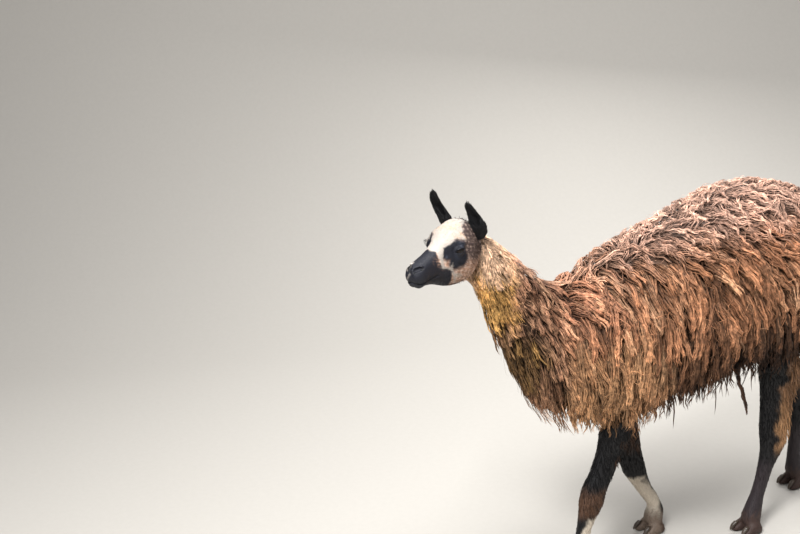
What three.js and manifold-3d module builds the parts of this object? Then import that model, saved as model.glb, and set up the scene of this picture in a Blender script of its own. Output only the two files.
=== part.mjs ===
// Llama, standing in mid stride, life size. Millimetres, +Z up, the animal faces -Y, its left is +X.
// Every soft form is a skin of rings over named sections; each section has a top and a bottom point
// (or a front and a back one, on a leg) and a half width, all out to the tips of the coat.
import * as THREE from "three";
import Module from "manifold-3d";

const wasm = await Module();
wasm.setup();

// ---------- driving sizes ----------
const GAP = 0.4; // thin cut between two nodes
const AROUND = { trunk: 32, neck: 22, head: 20, leg: 12, toe: 8, ear: 8, tail: 9, nail: 6 };
const STEPS = { trunk: 2, neck: 2, head: 2, leg: 1, toe: 1, ear: 1, tail: 1, nail: 1 };
const WOOL_RIDGE = 7; // swing of the lock ridges on the trunk
const HEM_SWING = 16; // swing of the hanging hem
const EYE_RADIUS = 17.5;
const POLL = [862, 74, 1361]; // crown of the head: forward, left, up
const HEAD_TURN = { yaw: 33, pitch: -2, roll: -8 }; // degrees; towards its left, nose down, left side low
const TRACK = { fore: 92, hind: 104 }; // half distance between left and right feet
const FOOT = { length: 92, toe: 43, height: 44, splay: 7 };

// Body coordinates are forward, left, up; the world is +X left, -Y forward.
const world = ([f, s, u]) => [s, -f, u];
const add = (a, b, k = 1) => a.map((v, i) => v + k * b[i]);
const length = (a) => Math.hypot(...a);
const unit = (a) => a.map((v) => v / length(a));
const cross = (a, b) => [
  a[1] * b[2] - a[2] * b[1],
  a[2] * b[0] - a[0] * b[2],
  a[0] * b[1] - a[1] * b[0],
];
const rad = (deg) => (deg * Math.PI) / 180;

// A section of the body from its top (or front) and bottom (or back) points in the long plane.
function section([topF, topU], [lowF, lowU], half, extra = {}) {
  const s = extra.s ?? 0;
  return {
    c: [(topF + lowF) / 2, s, (topU + lowU) / 2],
    up: [(topF - lowF) / 2, (extra.lean ?? 0) / 2, (topU - lowU) / 2],
    side: extra.side ? extra.side.map((v) => v * half) : [0, half, 0],
    square: extra.square ?? 2.2,
    egg: extra.egg ?? 0,
  };
}

// Catmull-Rom between sections, `steps` rings to each span.
function between(sections, steps) {
  const out = [];
  const at = (i) => sections[Math.max(0, Math.min(sections.length - 1, i))];
  const curve = (a, b, c, d, t) =>
    0.5 * (2 * b + (c - a) * t + (2 * a - 5 * b + 4 * c - d) * t * t + (3 * b - a - 3 * c + d) * t ** 3);
  for (let i = 0; i < sections.length - 1; i++)
    for (let k = 0; k < steps; k++) {
      const [a, b, c, d] = [at(i - 1), at(i), at(i + 1), at(i + 2)];
      const t = k / steps;
      const vec = (key) => b[key].map((_, j) => curve(a[key][j], b[key][j], c[key][j], d[key][j], t));
      const num = (key) => curve(a[key], b[key], c[key], d[key], t);
      const form = { square: num("square"), egg: num("egg") };
      out.push({ c: vec("c"), up: vec("up"), side: vec("side"), ...form, at: i + t });
    }
  out.push({ ...at(sections.length - 1), at: sections.length - 1 });
  return out;
}

// One ring of points round a section; `grow` moves it outwards, `shape` may move each point.
function ring(sec, count, grow = 0, shape = null) {
  const points = [];
  const h = length(sec.up);
  const w = length(sec.side);
  for (let i = 0; i < count; i++) {
    const a = (2 * Math.PI * i) / count;
    const e = 2 / sec.square;
    const v = Math.sign(Math.cos(a)) * Math.abs(Math.cos(a)) ** e;
    const q = Math.sign(Math.sin(a)) * Math.abs(Math.sin(a)) ** e * (1 - sec.egg * v);
    let p = add(add(sec.c, sec.up, v * (1 + grow / h)), sec.side, q * (1 + grow / w));
    if (shape) p = shape(p, sec, v, q);
    points.push(p);
  }
  return points;
}

// Closed solid from rings of equal count; both ends are flat fans.
function solidOf(rings) {
  const n = rings[0].length;
  const points = rings.flat().map(world);
  const ends = [rings[0], rings[rings.length - 1]].map((r) =>
    world(r.reduce((m, p) => add(m, p, 1 / r.length), [0, 0, 0])),
  );
  const faces = [];
  for (let r = 0; r + 1 < rings.length; r++)
    for (let i = 0; i < n; i++) {
      const [a, b] = [r * n + i, r * n + ((i + 1) % n)];
      faces.push([a, b, b + n], [a, b + n, a + n]);
    }
  const [first, last] = [points.length, points.length + 1];
  const base = (rings.length - 1) * n;
  for (let i = 0; i < n; i++) {
    const j = (i + 1) % n;
    faces.push([first, j, i], [last, base + i, base + j]);
  }
  const all = points.concat(ends);
  const make = (list) =>
    new wasm.Manifold(
      new wasm.Mesh({
        numProp: 3,
        vertProperties: new Float32Array(all.flat()),
        triVerts: new Uint32Array(list.flat()),
      }),
    );
  const solid = make(faces);
  return solid.volume() > 0 ? solid : make(faces.map(([a, b, c]) => [a, c, b]));
}

const skin = (sections, kind, grow = 0, shape = null) =>
  solidOf(between(sections, STEPS[kind]).map((s) => ring(s, AROUND[kind], grow, shape)));

// A three.js shape placed in body coordinates, as a solid for a cut.
function cutter(geometry, at, turn = [0, 0, 0], scale = [1, 1, 1]) {
  const g = geometry.clone();
  g.scale(...scale);
  g.applyMatrix4(new THREE.Matrix4().makeRotationFromEuler(new THREE.Euler(...turn)));
  g.translate(...world(at));
  const flat = g.index ? g.toNonIndexed() : g;
  return welded(flat.getAttribute("position").array);
}

function welded(array) {
  const seen = new Map();
  const verts = [];
  const tris = [];
  for (let i = 0; i < array.length; i += 3) {
    const p = [array[i], array[i + 1], array[i + 2]];
    const key = p.map((v) => Math.round(v * 1000)).join();
    if (!seen.has(key)) {
      seen.set(key, verts.length / 3);
      verts.push(...p);
    }
    tris.push(seen.get(key));
  }
  const kept = [];
  for (let i = 0; i < tris.length; i += 3) {
    const [a, b, c] = [tris[i], tris[i + 1], tris[i + 2]];
    if (a !== b && b !== c && c !== a) kept.push(a, b, c);
  }
  return new wasm.Manifold(
    new wasm.Mesh({
      numProp: 3,
      vertProperties: new Float32Array(verts),
      triVerts: new Uint32Array(kept),
    }),
  );
}

// ---------- head frame ----------
// Head coordinates: a = forward from the poll, s = to its left, h = up.
const headAxes = (() => {
  const [y, p, r] = [HEAD_TURN.yaw, HEAD_TURN.pitch, HEAD_TURN.roll].map(rad);
  const fwd = [Math.cos(p) * Math.cos(y), Math.cos(p) * Math.sin(y), -Math.sin(p)];
  const flat = [-Math.sin(y), Math.cos(y), 0];
  const lift = cross(fwd, flat);
  const side = add(flat.map((v) => v * Math.cos(r)), lift, Math.sin(r));
  const up = add(lift.map((v) => v * Math.cos(r)), flat, -Math.sin(r));
  return { fwd, side, up };
})();
const head = (a, s, h) =>
  add(add(add(POLL, headAxes.fwd, a), headAxes.side, s), headAxes.up, h);
const headVec = (a, s, h) => add(head(a, s, h), POLL, -1);

function headSection([topA, topH], [lowA, lowH], half, square = 2.3, egg = 0) {
  return {
    c: head((topA + lowA) / 2, 0, (topH + lowH) / 2),
    up: headVec((topA - lowA) / 2, 0, (topH - lowH) / 2),
    side: headVec(0, half, 0),
    square,
    egg,
  };
}
const HEAD_SECTIONS = [
  headSection([-38, -26], [-2, -164], 56, 2.1, 0.04),
  headSection([-14, 0], [22, -182], 67, 2.1, 0.05),
  headSection([20, 12], [56, -190], 70, 2.2, 0.04),
  headSection([54, 13], [88, -188], 68, 2.3, 0.02),
  headSection([88, 3], [118, -182], 61, 2.4, 0),
  headSection([117, -13], [142, -174], 51, 2.4, 0.02),
  headSection([146, -31], [164, -167], 42, 2.4, 0.04),
  headSection([175, -45], [185, -161], 37, 2.4, 0.02),
  headSection([205, -56], [208, -157], 34, 2.4, 0),
  headSection([233, -64], [231, -154], 33, 2.4, -0.02),
  headSection([257, -70], [252, -151], 32, 2.4, -0.02),
  headSection([274, -77], [269, -146], 28, 2.3, 0),
  headSection([285, -88], [280, -136], 20, 2.2, 0),
  headSection([290, -102], [287, -122], 6, 2, 0),
];

// Soft swellings and hollows on the head: place in head coordinates, reach, height.
const HEAD_SWELLS = [
  { at: [84, 54, -30], reach: 20, by: 7 }, // brow over each eye
  { at: [48, 62, -118], reach: 38, by: 6 }, // cheek
  { at: [124, 44, -62], reach: 18, by: -5 }, // hollow before the eye
  { at: [176, 34, -92], reach: 24, by: -3 }, // side of the muzzle
  { at: [272, 24, -112], reach: 20, by: 4 }, // upper lip
  { at: [258, 18, -140], reach: 18, by: 3 }, // lower lip
  { at: [50, 0, 10], reach: 34, by: 4 }, // forehead crown
];
function swellHead(p, sec) {
  const rel = add(p, POLL, -1);
  const dot = (a, b) => a[0] * b[0] + a[1] * b[1] + a[2] * b[2];
  const [a, s, h] = [dot(rel, headAxes.fwd), dot(rel, headAxes.side), dot(rel, headAxes.up)];
  const out = unit(add(p, sec.c, -1));
  let by = 0;
  for (const w of HEAD_SWELLS) {
    const d = Math.hypot(a - w.at[0], Math.abs(s) - w.at[1], h - w.at[2]);
    by += w.by * Math.exp(-((d / w.reach) ** 2));
  }
  return add(p, out, by);
}

// ---------- trunk and neck ----------
const neckEnd = { ...HEAD_SECTIONS[0] };
const TRUNK_SECTIONS = [
  section([-668, 1042], [-666, 977], 34),
  section([-655, 1107], [-648, 867], 112, { egg: 0.04 }),
  section([-615, 1167], [-606, 767], 176, { egg: 0.08 }),
  section([-545, 1219], [-540, 683], 226, { egg: 0.1 }),
  section([-450, 1267], [-450, 643], 256, { square: 2.3, egg: 0.12 }),
  section([-330, 1297], [-330, 631], 270, { square: 2.4, egg: 0.13 }),
  section([-205, 1300], [-205, 640], 272, { square: 2.4, egg: 0.14 }),
  section([-95, 1274], [-90, 640], 274, { square: 2.4, egg: 0.15 }),
  section([25, 1234], [30, 610], 272, { square: 2.4, egg: 0.16 }),
  section([155, 1198], [165, 588], 262, { square: 2.4, egg: 0.17 }),
  section([270, 1162], [300, 556], 246, { square: 2.3, egg: 0.18 }),
  section([360, 1124], [428, 560], 228, { square: 2.2, egg: 0.17 }),
  section([420, 1100], [520, 600], 208, { square: 2.2, egg: 0.15, s: 2 }),
  section([462, 1084], [594, 656], 190, { square: 2.2, egg: 0.12, s: 5 }),
  section([494, 1080], [648, 726], 170, { square: 2.2, egg: 0.1, s: 9 }),
];
const NECK_SECTIONS = [
  TRUNK_SECTIONS[TRUNK_SECTIONS.length - 1],
  section([530, 1096], [692, 812], 148, { s: 15, egg: 0.06 }),
  section([572, 1126], [732, 890], 133, { s: 22, egg: 0.03 }),
  section([622, 1167], [764, 963], 121, { s: 31 }),
  section([674, 1209], [786, 1026], 112, { s: 41 }),
  section([724, 1250], [803, 1081], 103, { s: 52 }),
  section([776, 1292], [820, 1131], 90, { s: 63 }),
  neckEnd,
];
// Locks of wool: shallow upright ridges on the sides and a swinging hem.
function woolly(p, sec, v, q) {
  const [f, s, u] = p;
  const middling = Math.min(1, sec.at / 3) * Math.min(1, (14 - sec.at) / 2);
  const flank = Math.min(1, Math.abs(q) * 1.4) * middling;
  const ridge = Math.sin(f / 17 + 2.2 * Math.sin(u / 90 + s / 140)) * WOOL_RIDGE * flank;
  const hem = v < -0.6 ? HEM_SWING * flank * Math.sin(f / 24 + s / 60) : 0;
  const out = unit(add(p, sec.c, -1));
  return add(add(p, out, ridge), [0, 0, 1], hem);
}
const trunkRings = between(TRUNK_SECTIONS, STEPS.trunk);
const neckRings = between(NECK_SECTIONS, STEPS.neck);
const shortenEnd = (rings, first, by) => {
  const i = first ? 0 : rings.length - 1;
  const j = first ? 1 : rings.length - 2;
  const along = unit(add(rings[j].c, rings[i].c, -1));
  rings[i] = { ...rings[i], c: add(rings[i].c, along, by) };
  return rings;
};
const trunkWith = (grow) => {
  const rings = shortenEnd([...trunkRings], false, grow ? -1 : GAP / 2);
  return solidOf(shortenEnd(rings, true, -grow).map((s) => ring(s, AROUND.trunk, grow, woolly)));
};
const trunk = trunkWith(0);
const trunkGrown = trunkWith(GAP);
shortenEnd(neckRings, true, GAP / 2);
shortenEnd(neckRings, false, GAP / 2);
const neck = solidOf(neckRings.map((s) => ring(s, AROUND.neck)));

// ---------- legs ----------
// Each leg is a list of sections from hip or elbow down to the pastern:
// front point, back point, half width and place to the left.
function legSection([frontF, frontU], [backF, backU], half, s, square = 2.2) {
  return section([frontF, frontU], [backF, backU], half, { s, square });
}
const LEGS = {
  foreleg_left: {
    s: TRACK.fore,
    foot: 552,
    fetlock: 522,
    parts: [
      [[400, 687], [240, 667], 64, 112],
      [[418, 607], [276, 581], 58, 108],
      [[428, 542], [308, 512], 48, 104],
      [[440, 477], [336, 445], 41, 100],
      [[462, 407], [374, 379], 36, 98],
      [[492, 352], [404, 325], 36, 95],
      [[506, 312], [414, 289], 37, 94],
      [[510, 272], [438, 249], 30, 93],
      [[520, 217], [462, 202], 25, 92],
      [[534, 157], [482, 143], 26, 92],
    ],
  },
  foreleg_right: {
    s: -TRACK.fore,
    foot: 92,
    fetlock: 70,
    parts: [
      [[300, 707], [110, 687], 64, -112],
      [[284, 607], [118, 587], 58, -108],
      [[262, 532], [126, 507], 48, -102],
      [[244, 447], [130, 429], 41, -97],
      [[228, 367], [128, 355], 37, -94],
      [[220, 312], [120, 307], 38, -92],
      [[204, 259], [110, 273], 34, -92],
      [[174, 213], [102, 233], 28, -92],
      [[148, 172], [86, 188], 25, -92],
      [[126, 140], [62, 150], 26, -92],
    ],
  },
  hindleg_left: {
    s: TRACK.hind,
    foot: -200,
    fetlock: -226,
    parts: [
      [[-170, 817], [-470, 817], 82, 136],
      [[-206, 727], [-446, 709], 76, 132],
      [[-232, 635], [-420, 607], 62, 124],
      [[-244, 555], [-398, 523], 50, 116],
      [[-246, 477], [-384, 445], 41, 110],
      [[-250, 407], [-376, 371], 35, 107],
      [[-256, 355], [-372, 317], 34, 105],
      [[-260, 307], [-336, 270], 31, 104],
      [[-250, 257], [-308, 229], 27, 104],
      [[-234, 198], [-288, 178], 25, 104],
      [[-214, 146], [-268, 130], 26, 104],
    ],
  },
  hindleg_right: {
    s: -TRACK.hind,
    foot: -592,
    fetlock: -592,
    parts: [
      [[-250, 817], [-540, 817], 82, -136],
      [[-318, 727], [-550, 697], 76, -132],
      [[-392, 639], [-574, 600], 62, -124],
      [[-450, 565], [-600, 515], 50, -116],
      [[-505, 492], [-640, 434], 41, -110],
      [[-545, 425], [-668, 372], 35, -107],
      [[-562, 372], [-686, 324], 34, -105],
      [[-570, 316], [-668, 284], 32, -104],
      [[-570, 262], [-636, 246], 27, -104],
      [[-568, 198], [-624, 190], 25, -104],
      [[-562, 146], [-620, 138], 26, -104],
    ],
  },
};
// Fetlock, pastern and the end of the limb inside its two toes.
const footParts = ({ s, foot, fetlock }) => [
  [[fetlock + 34, 106], [fetlock - 32, 86], 31, s],
  [[(fetlock + foot) / 2 + 36, 72], [(fetlock + foot) / 2 - 34, 46], 36, s],
  [[foot + 26, 42], [foot - 34, 20], 36, s],
];

// Toe: a padded digit, flat underneath, its tip rounded; `side` is +1 for the toe further left.
function toeSections(foot, s, side) {
  const { length: L, toe, height, splay } = FOOT;
  const t = Math.tan(rad(splay)) * side;
  const cut = (k, top, half) => {
    const f = foot - 0.42 * L + k * L;
    return section([f, top], [f, -6], half, { s: s + side * (toe * 0.54) + t * k * L * 0.8, square: 2.8 });
  };
  return [
    cut(-0.02, 20, 11),
    cut(0.08, 40, toe * 0.44),
    cut(0.36, height + 6, toe * 0.53),
    cut(0.6, height - 2, toe * 0.51),
    cut(0.8, height - 14, toe * 0.44),
    cut(0.94, height - 25, toe * 0.31),
    cut(1.0, 9, 6),
  ];
}
function nailSections(foot, s, side) {
  const { length: L, toe, height, splay } = FOOT;
  const t = Math.tan(rad(splay)) * side;
  const cut = (k, mid, tall, half) => {
    const f = foot - 0.42 * L + k * L;
    const c = s + side * (toe * 0.54) + t * k * L * 0.8;
    const [tip, base] = [0.5, -0.5].map((v) => [f + 0.4 * v * tall, mid + v * tall]);
    return section(tip, base, half, { s: c, square: 2.2 });
  };
  return [
    cut(0.66, 36, 8, 5),
    cut(0.78, 33, 16, 9.5),
    cut(0.93, 23, 16, 9),
    cut(1.01, 14, 12, 6),
    cut(1.05, 9, 7, 3),
  ];
}
const flatSole = (p) => [p[0], p[1], Math.max(0, p[2])];

// ---------- build ----------
const root = new THREE.Group();
root.name = "llama";
const nodes = [];
const paint = (name, color, roughness) => new THREE.MeshStandardMaterial({ name, color, roughness });
const WOOL = { trunk: 0x7a4a2e, neck: 0x8a5a38, tail: 0x5a3a28, flank_lock: 0x3a2a22 };
function keep(name, solid, color, roughness = 0.95) {
  nodes.push({ name, solid, color, roughness });
}

keep("trunk", trunk, WOOL.trunk);
keep("neck", neck, WOOL.neck);

// Head: skin, then eye sockets, mouth and nostrils cut.
const headWith = (grow) => skin(HEAD_SECTIONS, "head", grow, swellHead);
let skull = headWith(0);
const skullGrown = headWith(GAP);
const sphere = (r) => new THREE.SphereGeometry(r, 10, 7);
const EYE = { a: 98, s: 46, h: -60 };
for (const [name, side] of [["eye_left", 1], ["eye_right", -1]]) {
  const at = head(EYE.a, side * EYE.s, EYE.h);
  skull = skull.subtract(cutter(sphere(EYE_RADIUS + GAP), at));
  keep(name, cutter(sphere(EYE_RADIUS), at), 0x120d0b, 0.15);
}
// Mouth: a thin curved slit, deepest at the front, closing at the corner.
const mouthCut = [
  [192, 44, 2], [220, 44, 2.6], [248, 44, 3], [300, 44, 4],
].map(([a, half, tall], i) => {
  const h = -131 + 5 * Math.sin(i / 1.3) - i * 0.8;
  return headSection([a, h + tall / 2], [a, h - tall / 2], half, 8);
});
skull = skull.subtract(solidOf(mouthCut.map((s) => ring(s, 8)))
  .subtract(solidOf([
    headSection([186, -100], [186, -160], 25, 3),
    headSection([250, -100], [250, -160], 21, 3),
    headSection([264, -100], [264, -160], 8, 3),
  ].map((s) => ring(s, 8)))));
for (const side of [1, -1]) {
  const slit = [
    [256, 23, -86, 2.5, 2], [264, 21, -90, 8, 4], [273, 18, -96, 9, 5], [292, 13, -104, 6, 5],
  ].map(([a, s, h, tall, half]) => ({
    c: head(a, side * s, h),
    up: headVec(0, side * tall * 0.35, tall / 2),
    side: headVec(0, half, 0),
    square: 2,
    egg: 0,
  }));
  const opening = slit.map((s, i) => ({ ...s, c: add(s.c, headVec(0, side * (2 + i * 0.5), 0)) }));
  skull = skull.subtract(solidOf(opening.map((s) => ring(s, 6))));
}
keep("head", skull, 0xd8d0c8);

// Ears: upright bananas, hollow in front; both swing a little to the animal's right.
// Each row: forward, left, up, half width, half depth.
const EARS = {
  ear_left: [
    [-12, 57, -46, 17, 14], [-9, 57, -26, 26, 19], [-3, 55, -5, 27, 21], [4, 48, 13, 24, 19],
    [11, 39, 31, 20, 16], [19, 33, 48, 17, 13], [27, 29, 62, 13, 10], [32, 28, 72, 6, 5],
  ],
  ear_right: [
    [-10, -54, -40, 20, 15], [-8, -60, -22, 27, 19], [-2, -70, 2, 28, 20], [6, -81, 22, 26, 18],
    [14, -89, 41, 23, 15], [21, -95, 59, 20, 13], [27, -96, 75, 15, 10.5], [31, -94, 86, 7, 5],
  ],
};
const CUP = { in: 6, forward: 9, ease: [0.1, 0.15, 0.6, 1, 1, 1, 0.9, 0.2] }; // hollow of the ear
for (const [name, rows] of Object.entries(EARS)) {
  const side = Math.sign(rows[0][1]);
  const outer = rows.map(([a, s, h, wide, deep]) => ({
    c: head(a, s, h),
    up: headVec(deep * 0.95, side * deep * -0.25, deep * -0.3),
    side: headVec(wide * 0.1, wide, 0),
    square: 2.1,
    egg: 0.12,
  }));
  const inner = rows.map(([a, s, h, wide, deep], i) => {
    const [w, d] = [wide - CUP.in, deep - CUP.in].map((v) => Math.max(1.2, v * CUP.ease[i]));
    return {
      c: head(a + CUP.forward, s - side * 1.5, h + 6),
      up: headVec(d * 0.95, side * d * -0.25, d * -0.3),
      side: headVec(wide * 0.1, w, 0),
      square: 2,
      egg: 0,
    };
  });
  const ear = skin(outer, "ear").subtract(skin(inner.slice(1), "ear"));
  keep(name, ear.subtract(skullGrown), 0x14110f);
}

// Tail: hangs close over the rump.
const TAIL = [
  section([-560, 1097], [-556, 977], 40), section([-622, 1095], [-600, 967], 52),
  section([-678, 1059], [-630, 933], 62), section([-716, 987], [-626, 897], 68),
  section([-734, 897], [-628, 837], 66), section([-732, 817], [-640, 779], 56),
  section([-716, 757], [-658, 729], 38), section([-700, 719], [-680, 707], 14),
];
keep("tail", skin(TAIL, "tail").subtract(trunkGrown), WOOL.tail);

// Matted lock that hangs from the left flank before the hind leg.
const LOCK = [
  [-70, 206, 720, 14], [-72, 224, 665, 13], [-80, 232, 610, 12],
  [-92, 233, 565, 10], [-98, 230, 530, 5],
].map(([f, s, u, r]) => ({ c: [f, s, u], up: [r, 0, 0], side: [0, r, 0], square: 2, egg: 0 }));
keep("flank_lock", skin(LOCK, "nail").subtract(trunkGrown), WOOL.flank_lock);

for (const [name, leg] of Object.entries(LEGS)) {
  let limb = skin([...leg.parts, ...footParts(leg)].map((p) => legSection(...p)), "leg");
  const nails = [];
  for (const [tag, side] of [["inner", -Math.sign(leg.s)], ["outer", Math.sign(leg.s)]]) {
    limb = limb.add(skin(toeSections(leg.foot, leg.s, side), "toe", 0, flatSole));
    nails.push([tag, side]);
  }
  for (const [tag, side] of nails) {
    limb = limb.subtract(skin(nailSections(leg.foot, leg.s, side), "nail", GAP * 0.8));
    const nail = skin(nailSections(leg.foot, leg.s, side), "nail");
    keep(name.replace("leg", "nail") + "_" + tag, nail, 0x1c1613, 0.5);
  }
  keep(name, limb.subtract(trunkGrown), 0x2a211d);
}

// Origin: middle of the footprint of the whole model, on the floor.
const box = new THREE.Box3();
for (const { solid } of nodes) {
  const { min, max } = solid.boundingBox();
  box.expandByPoint(new THREE.Vector3(...min)).expandByPoint(new THREE.Vector3(...max));
}
const middle = box.getCenter(new THREE.Vector3());
for (const { name, solid, color, roughness } of nodes) {
  const { vertProperties, triVerts, numProp } = solid.getMesh();
  const g = new THREE.BufferGeometry();
  const xyz = new Float32Array((vertProperties.length / numProp) * 3);
  for (let i = 0; i < xyz.length; i++) xyz[i] = vertProperties[numProp * Math.floor(i / 3) + (i % 3)];
  g.setAttribute("position", new THREE.BufferAttribute(xyz, 3));
  g.setIndex(new THREE.BufferAttribute(new Uint32Array(triVerts), 1));
  g.translate(-middle.x, -middle.y, 0);
  g.computeVertexNormals();
  const mesh = new THREE.Mesh(g, paint(name + "_coat", color, roughness));
  mesh.name = name;
  root.add(mesh);
}

export default root;
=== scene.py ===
# %% [markdown]
# # A llama, standing
# This notebook puts the coat, the skin and the light on a life-size llama. The frame holds its
# true outline, out to the tips of the wool, as plain solids. Those solids carry the size and the
# stance, and everything below is grown between them and the animal's body.

# %% Load the frame
import math

import bpy
import numpy as np
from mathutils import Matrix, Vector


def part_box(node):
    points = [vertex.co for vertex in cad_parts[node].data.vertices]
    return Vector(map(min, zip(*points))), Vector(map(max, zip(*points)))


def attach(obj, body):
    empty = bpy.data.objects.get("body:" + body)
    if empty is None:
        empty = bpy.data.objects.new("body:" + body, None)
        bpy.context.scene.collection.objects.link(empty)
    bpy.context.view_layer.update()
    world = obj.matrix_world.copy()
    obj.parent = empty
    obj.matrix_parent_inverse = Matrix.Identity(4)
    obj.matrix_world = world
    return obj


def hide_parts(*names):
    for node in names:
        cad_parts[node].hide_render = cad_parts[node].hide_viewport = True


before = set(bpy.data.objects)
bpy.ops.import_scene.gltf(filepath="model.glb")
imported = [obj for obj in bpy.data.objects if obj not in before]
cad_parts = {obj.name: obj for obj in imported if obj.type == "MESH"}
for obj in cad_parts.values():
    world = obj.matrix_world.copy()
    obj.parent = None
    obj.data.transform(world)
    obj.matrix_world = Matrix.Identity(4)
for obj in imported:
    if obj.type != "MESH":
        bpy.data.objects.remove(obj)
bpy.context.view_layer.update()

import openvdb as vdb
from mathutils import Matrix, Vector

# %% [markdown]
# ## Where the viewer stands
# The llama is seen from its left, a little ahead of the shoulder and above the back. A lens of
# 56 mm at about four and a half metres keeps the near feet only a little larger than the far
# ones. The camera leans five degrees, as one held in the hand does.

# %% Camera
EYE_POINT = Vector((3.4853, -2.3204, 2.2817))
AZIMUTH, ELEVATION, LEAN = math.radians(67.28), math.radians(15.50), math.radians(-5.0)


def camera_axes(azimuth, elevation, lean):
    """Right, up and back of a camera that looks at the llama from azimuth and elevation."""
    back = Vector((math.sin(azimuth) * math.cos(elevation),
                   -math.cos(azimuth) * math.cos(elevation),
                   math.sin(elevation)))
    level = Vector((math.cos(azimuth), math.sin(azimuth), 0.0))
    upright = back.cross(level)
    right = math.cos(lean) * level + math.sin(lean) * upright
    up = math.cos(lean) * upright - math.sin(lean) * level
    return right, up, back


def in_scene(name, data):
    """A new object, linked to the scene."""
    piece = bpy.data.objects.new(name, data)
    bpy.context.scene.collection.objects.link(piece)
    return piece


camera_data = bpy.data.cameras.new("camera")
camera_data.lens, camera_data.sensor_width = 56.34, 36.0
camera = in_scene("camera", camera_data)
turn = Matrix(camera_axes(AZIMUTH, ELEVATION, LEAN)).transposed().to_4x4()
camera.matrix_world = Matrix.Translation(EYE_POINT) @ turn
bpy.context.scene.camera = camera

# %% [markdown]
# ## Reading the body as distances
# A body is easiest to thicken, thin or smooth as a block of numbers: at each point of an even
# grid, how far it is to the surface, negative inside. Level sets do that. Growing a coat inward
# or adding an eyelid is then one sum, and the surface comes back as one closed mesh.

# %% Distance fields
WELD = 0.0009           # closes the hairline cuts between the frame's solids


def smooth(value, low, high):
    """0 below low, 1 above high, and a soft slope between."""
    t = np.clip((value - low) / (high - low), 0.0, 1.0)
    return t * t * (3.0 - 2.0 * t)


class Field:
    """Numbers on an even grid, read at any point between its points."""

    def __init__(self, values, low, step):
        self.values, self.low, self.step = values, np.asarray(low, float), step

    def points(self):
        """The place of every grid point, as three arrays that broadcast together."""
        lines = [self.low[k] + self.step * np.arange(n) for k, n in enumerate(self.values.shape)]
        return np.meshgrid(*lines, indexing="ij", sparse=True)

    def at(self, places):
        size = np.array(self.values.shape)
        grid = np.clip((places - self.low) / self.step, 0.0, size - 1.001)
        cell = grid.astype(int)
        part = grid - cell
        total = 0.0
        for corner in np.ndindex(2, 2, 2):
            share = np.prod(np.where(corner, part, 1.0 - part), axis=1)
            i, j, k = (cell + corner).T
            total = total + share * self.values[i, j, k]
        return total

    def slope(self, places):
        """The way out of the surface, as unit vectors."""
        reach = np.eye(3) * self.step * 0.75
        way = np.stack([self.at(places + r) - self.at(places - r) for r in reach], axis=1)
        return way / (np.linalg.norm(way, axis=1, keepdims=True) + 1e-12)


def read_mesh(mesh):
    """The corners and triangles of a mesh, as two arrays."""
    corners = np.empty(len(mesh.vertices) * 3, np.float32)
    mesh.vertices.foreach_get("co", corners)
    mesh.calc_loop_triangles()
    faces = np.empty(len(mesh.loop_triangles) * 3, np.int32)
    mesh.loop_triangles.foreach_get("vertices", faces)
    return corners.reshape(-1, 3), faces.reshape(-1, 3)


def node_mesh(names):
    """The corners and triangles of some of the frame's solids, with equal corners merged."""
    corners, faces, count = [], [], 0
    for name in names:
        points, triangles = read_mesh(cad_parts[name].data)
        whole, back = np.unique(points.round(6), axis=0, return_inverse=True)
        corners.append(whole)
        faces.append(back.reshape(-1)[triangles] + count)
        count += len(whole)
    return np.concatenate(corners).astype(np.float32), np.concatenate(faces).astype(np.int32)


def distances(names, step, reach, low, high):
    """How far every point of a block is from the joined surface of some solids."""
    corners, faces = node_mesh(names)
    lattice = vdb.createLinearTransform(step)
    first = vdb.FloatGrid.createLevelSetFromPolygons(
        corners, triangles=faces, transform=lattice, halfWidth=3)
    shell, quads = first.convertToQuads(isovalue=WELD)
    grid = vdb.FloatGrid.createLevelSetFromPolygons(
        shell, quads=quads, transform=lattice, halfWidth=max(3.0, reach / step))
    start = np.floor(np.asarray(low) / step).astype(int)
    size = np.ceil(np.asarray(high) / step).astype(int) - start + 1
    block = np.zeros(tuple(size), np.float32)
    grid.copyToArray(block, ijk=tuple(int(v) for v in start))
    return Field(block + WELD, start * step, step)


def blur(values, spread):
    """A Gaussian blur, spread in grid steps."""
    reach = int(math.ceil(spread * 2.5))
    bell = np.exp(-0.5 * (np.arange(-reach, reach + 1) / spread) ** 2)
    bell /= bell.sum()
    for axis in range(3):
        pad = [(reach, reach) if k == axis else (0, 0) for k in range(3)]
        wide = np.pad(values, pad, mode="edge")
        length = values.shape[axis]
        values = sum(w * np.take(wide, range(k, k + length), axis=axis) for k, w in enumerate(bell))
    return values.astype(np.float32)


def join(one, two, soft):
    """The nearer of two surfaces, with the corner between them filled over a width of soft."""
    share = np.clip(0.5 + 0.5 * (two - one) / soft, 0.0, 1.0)
    return two + (one - two) * share - soft * share * (1.0 - share)


def carve(body, tool, soft):
    """What is left of a body once a tool's shape is cut out, with a rounded edge."""
    return -join(-body, tool, soft)


def surface(field, level=0.0):
    """The closed surface of a field, as corners and quads."""
    values = np.ascontiguousarray(field.values - level, np.float32)
    edge = field.step * 2.0
    for axis in range(3):                      # closes the surface at the block's own sides
        for side in (0, -1):
            index = [slice(None)] * 3
            index[axis] = side
            values[tuple(index)] = edge
    grid = vdb.FloatGrid(edge)
    grid.copyFromArray(np.clip(values, -edge, edge).astype(np.float32))
    grid.transform = vdb.createLinearTransform(field.step)
    corners, quads = grid.convertToQuads(isovalue=0.0)
    return corners + field.low, quads

# %% [markdown]
# ## The head's own axes
# Everything on the face is placed from the middle between the eyes, in the head's own forward,
# left and up, so that it turns with the head. The head is turned to the llama's left.

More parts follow.
